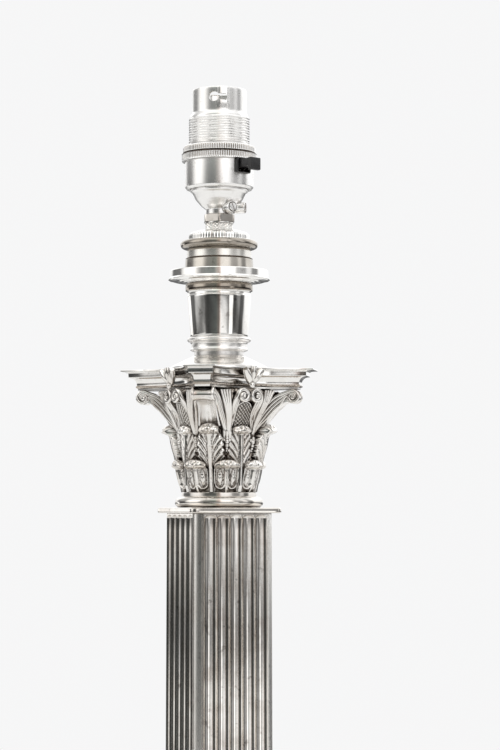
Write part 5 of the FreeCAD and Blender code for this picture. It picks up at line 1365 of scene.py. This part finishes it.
# height: floor bounce below, boxes about the horizon, a soft top light
gate = ramp(wt, el, [(0.0, 0.0), (0.22, 0.0), (0.30, 0.12), (0.478, 0.10), (0.490, 0.55), (0.497, 1.0), (0.80, 1.0), (0.88, 0.0)])
above = ramp(wt, el, [(0.0, 0.9), (0.30, 0.5), (0.44, 0.03), (0.575, 0.03), (0.63, 0.34), (0.80, 0.48), (0.86, 0.8), (0.91, 1.25), (1.0, 1.4)])
total = calc(wt, "ADD", calc(wt, "MULTIPLY", horizon, gate), above)
card = calc(wt, "MULTIPLY", ramp(wt, fac, [(a_(-144), 0.0), (a_(-142), 1.2), (a_(-126), 1.2), (a_(-124), 0.0)]),
            ramp(wt, el, [(0.486, 0.0), (0.489, 1.0), (0.521, 1.0), (0.524, 0.0)]))
total = calc(wt, "ADD", total, card)
# tall narrow strips below the horizon that draw the arrises of the shaft
strips = calc(wt, "MULTIPLY", ramp(wt, fac, [(a_(-140), 0.0), (a_(-138), 1.2), (a_(-129), 1.2), (a_(-127), 0.0), (a_(37), 0.0), (a_(40), 1.25), (a_(51), 1.25), (a_(54), 0.0)]),
              ramp(wt, el, [(0.34, 0.0), (0.40, 1.0), (0.478, 1.0), (0.489, 0.0)]))
total = calc(wt, "ADD", total, strips)
# two soft panels low down that the tapering cup picks up
panels = calc(wt, "MULTIPLY", ramp(wt, fac, [(a_(-90), 0.0), (a_(-84), 1.0), (a_(-60), 0.9), (a_(-52), 0.0), (a_(0), 0.15), (a_(5), 1.05), (a_(26), 1.0), (a_(36), 0.3), (a_(56), 0.2), (a_(66), 0.4), (a_(78), 0.45), (a_(84), 0.0)]),
              ramp(wt, el, [(0.442, 0.0), (0.449, 1.0), (0.463, 1.0), (0.470, 0.0)]))
total = calc(wt, "ADD", total, panels)
tint = ramp(wt, fac, [(a_(-180), (0.98, 0.99, 1.0)), (a_(-50), (1.0, 0.99, 0.97)), (a_(-12), (0.80, 0.88, 0.84)), (a_(0), (1.0, 0.84, 0.76)),
                      (a_(8), (1.0, 1.0, 1.0)), (a_(180), (0.98, 0.99, 1.0))])
wt.links.new(tint, lit.inputs[0])
wt.links.new(total, lit.inputs[1])

cam_data = bpy.data.cameras.new("camera")
cam_data.sensor_fit = "AUTO"
cam_data.sensor_width = 36.0
cam_data.lens = 110.4
cam_data.clip_start = 0.01
cam_data.clip_end = 20.0
cam = bpy.data.objects.new("camera", cam_data)
bpy.context.scene.collection.objects.link(cam)
eye = CAM_DIR * 1.060 + np.array((0, 0, 0.3245))
yaw, pitch = rad(0.772), rad(3.3)
look = -CAM_DIR * math.cos(yaw) + CAM_RIGHT * math.sin(yaw)
aim = look * math.cos(pitch) + np.array((0, 0, math.sin(pitch)))
cam.location = eye
cam.rotation_euler = Vector(aim).to_track_quat("-Z", "Y").to_euler()
bpy.context.scene.camera = cam
bpy.context.scene.view_settings.view_transform = "Standard"
bpy.context.scene.view_settings.look = "None"
bpy.context.scene.view_settings.exposure = 0.0
bpy.context.scene.view_settings.gamma = 1.0
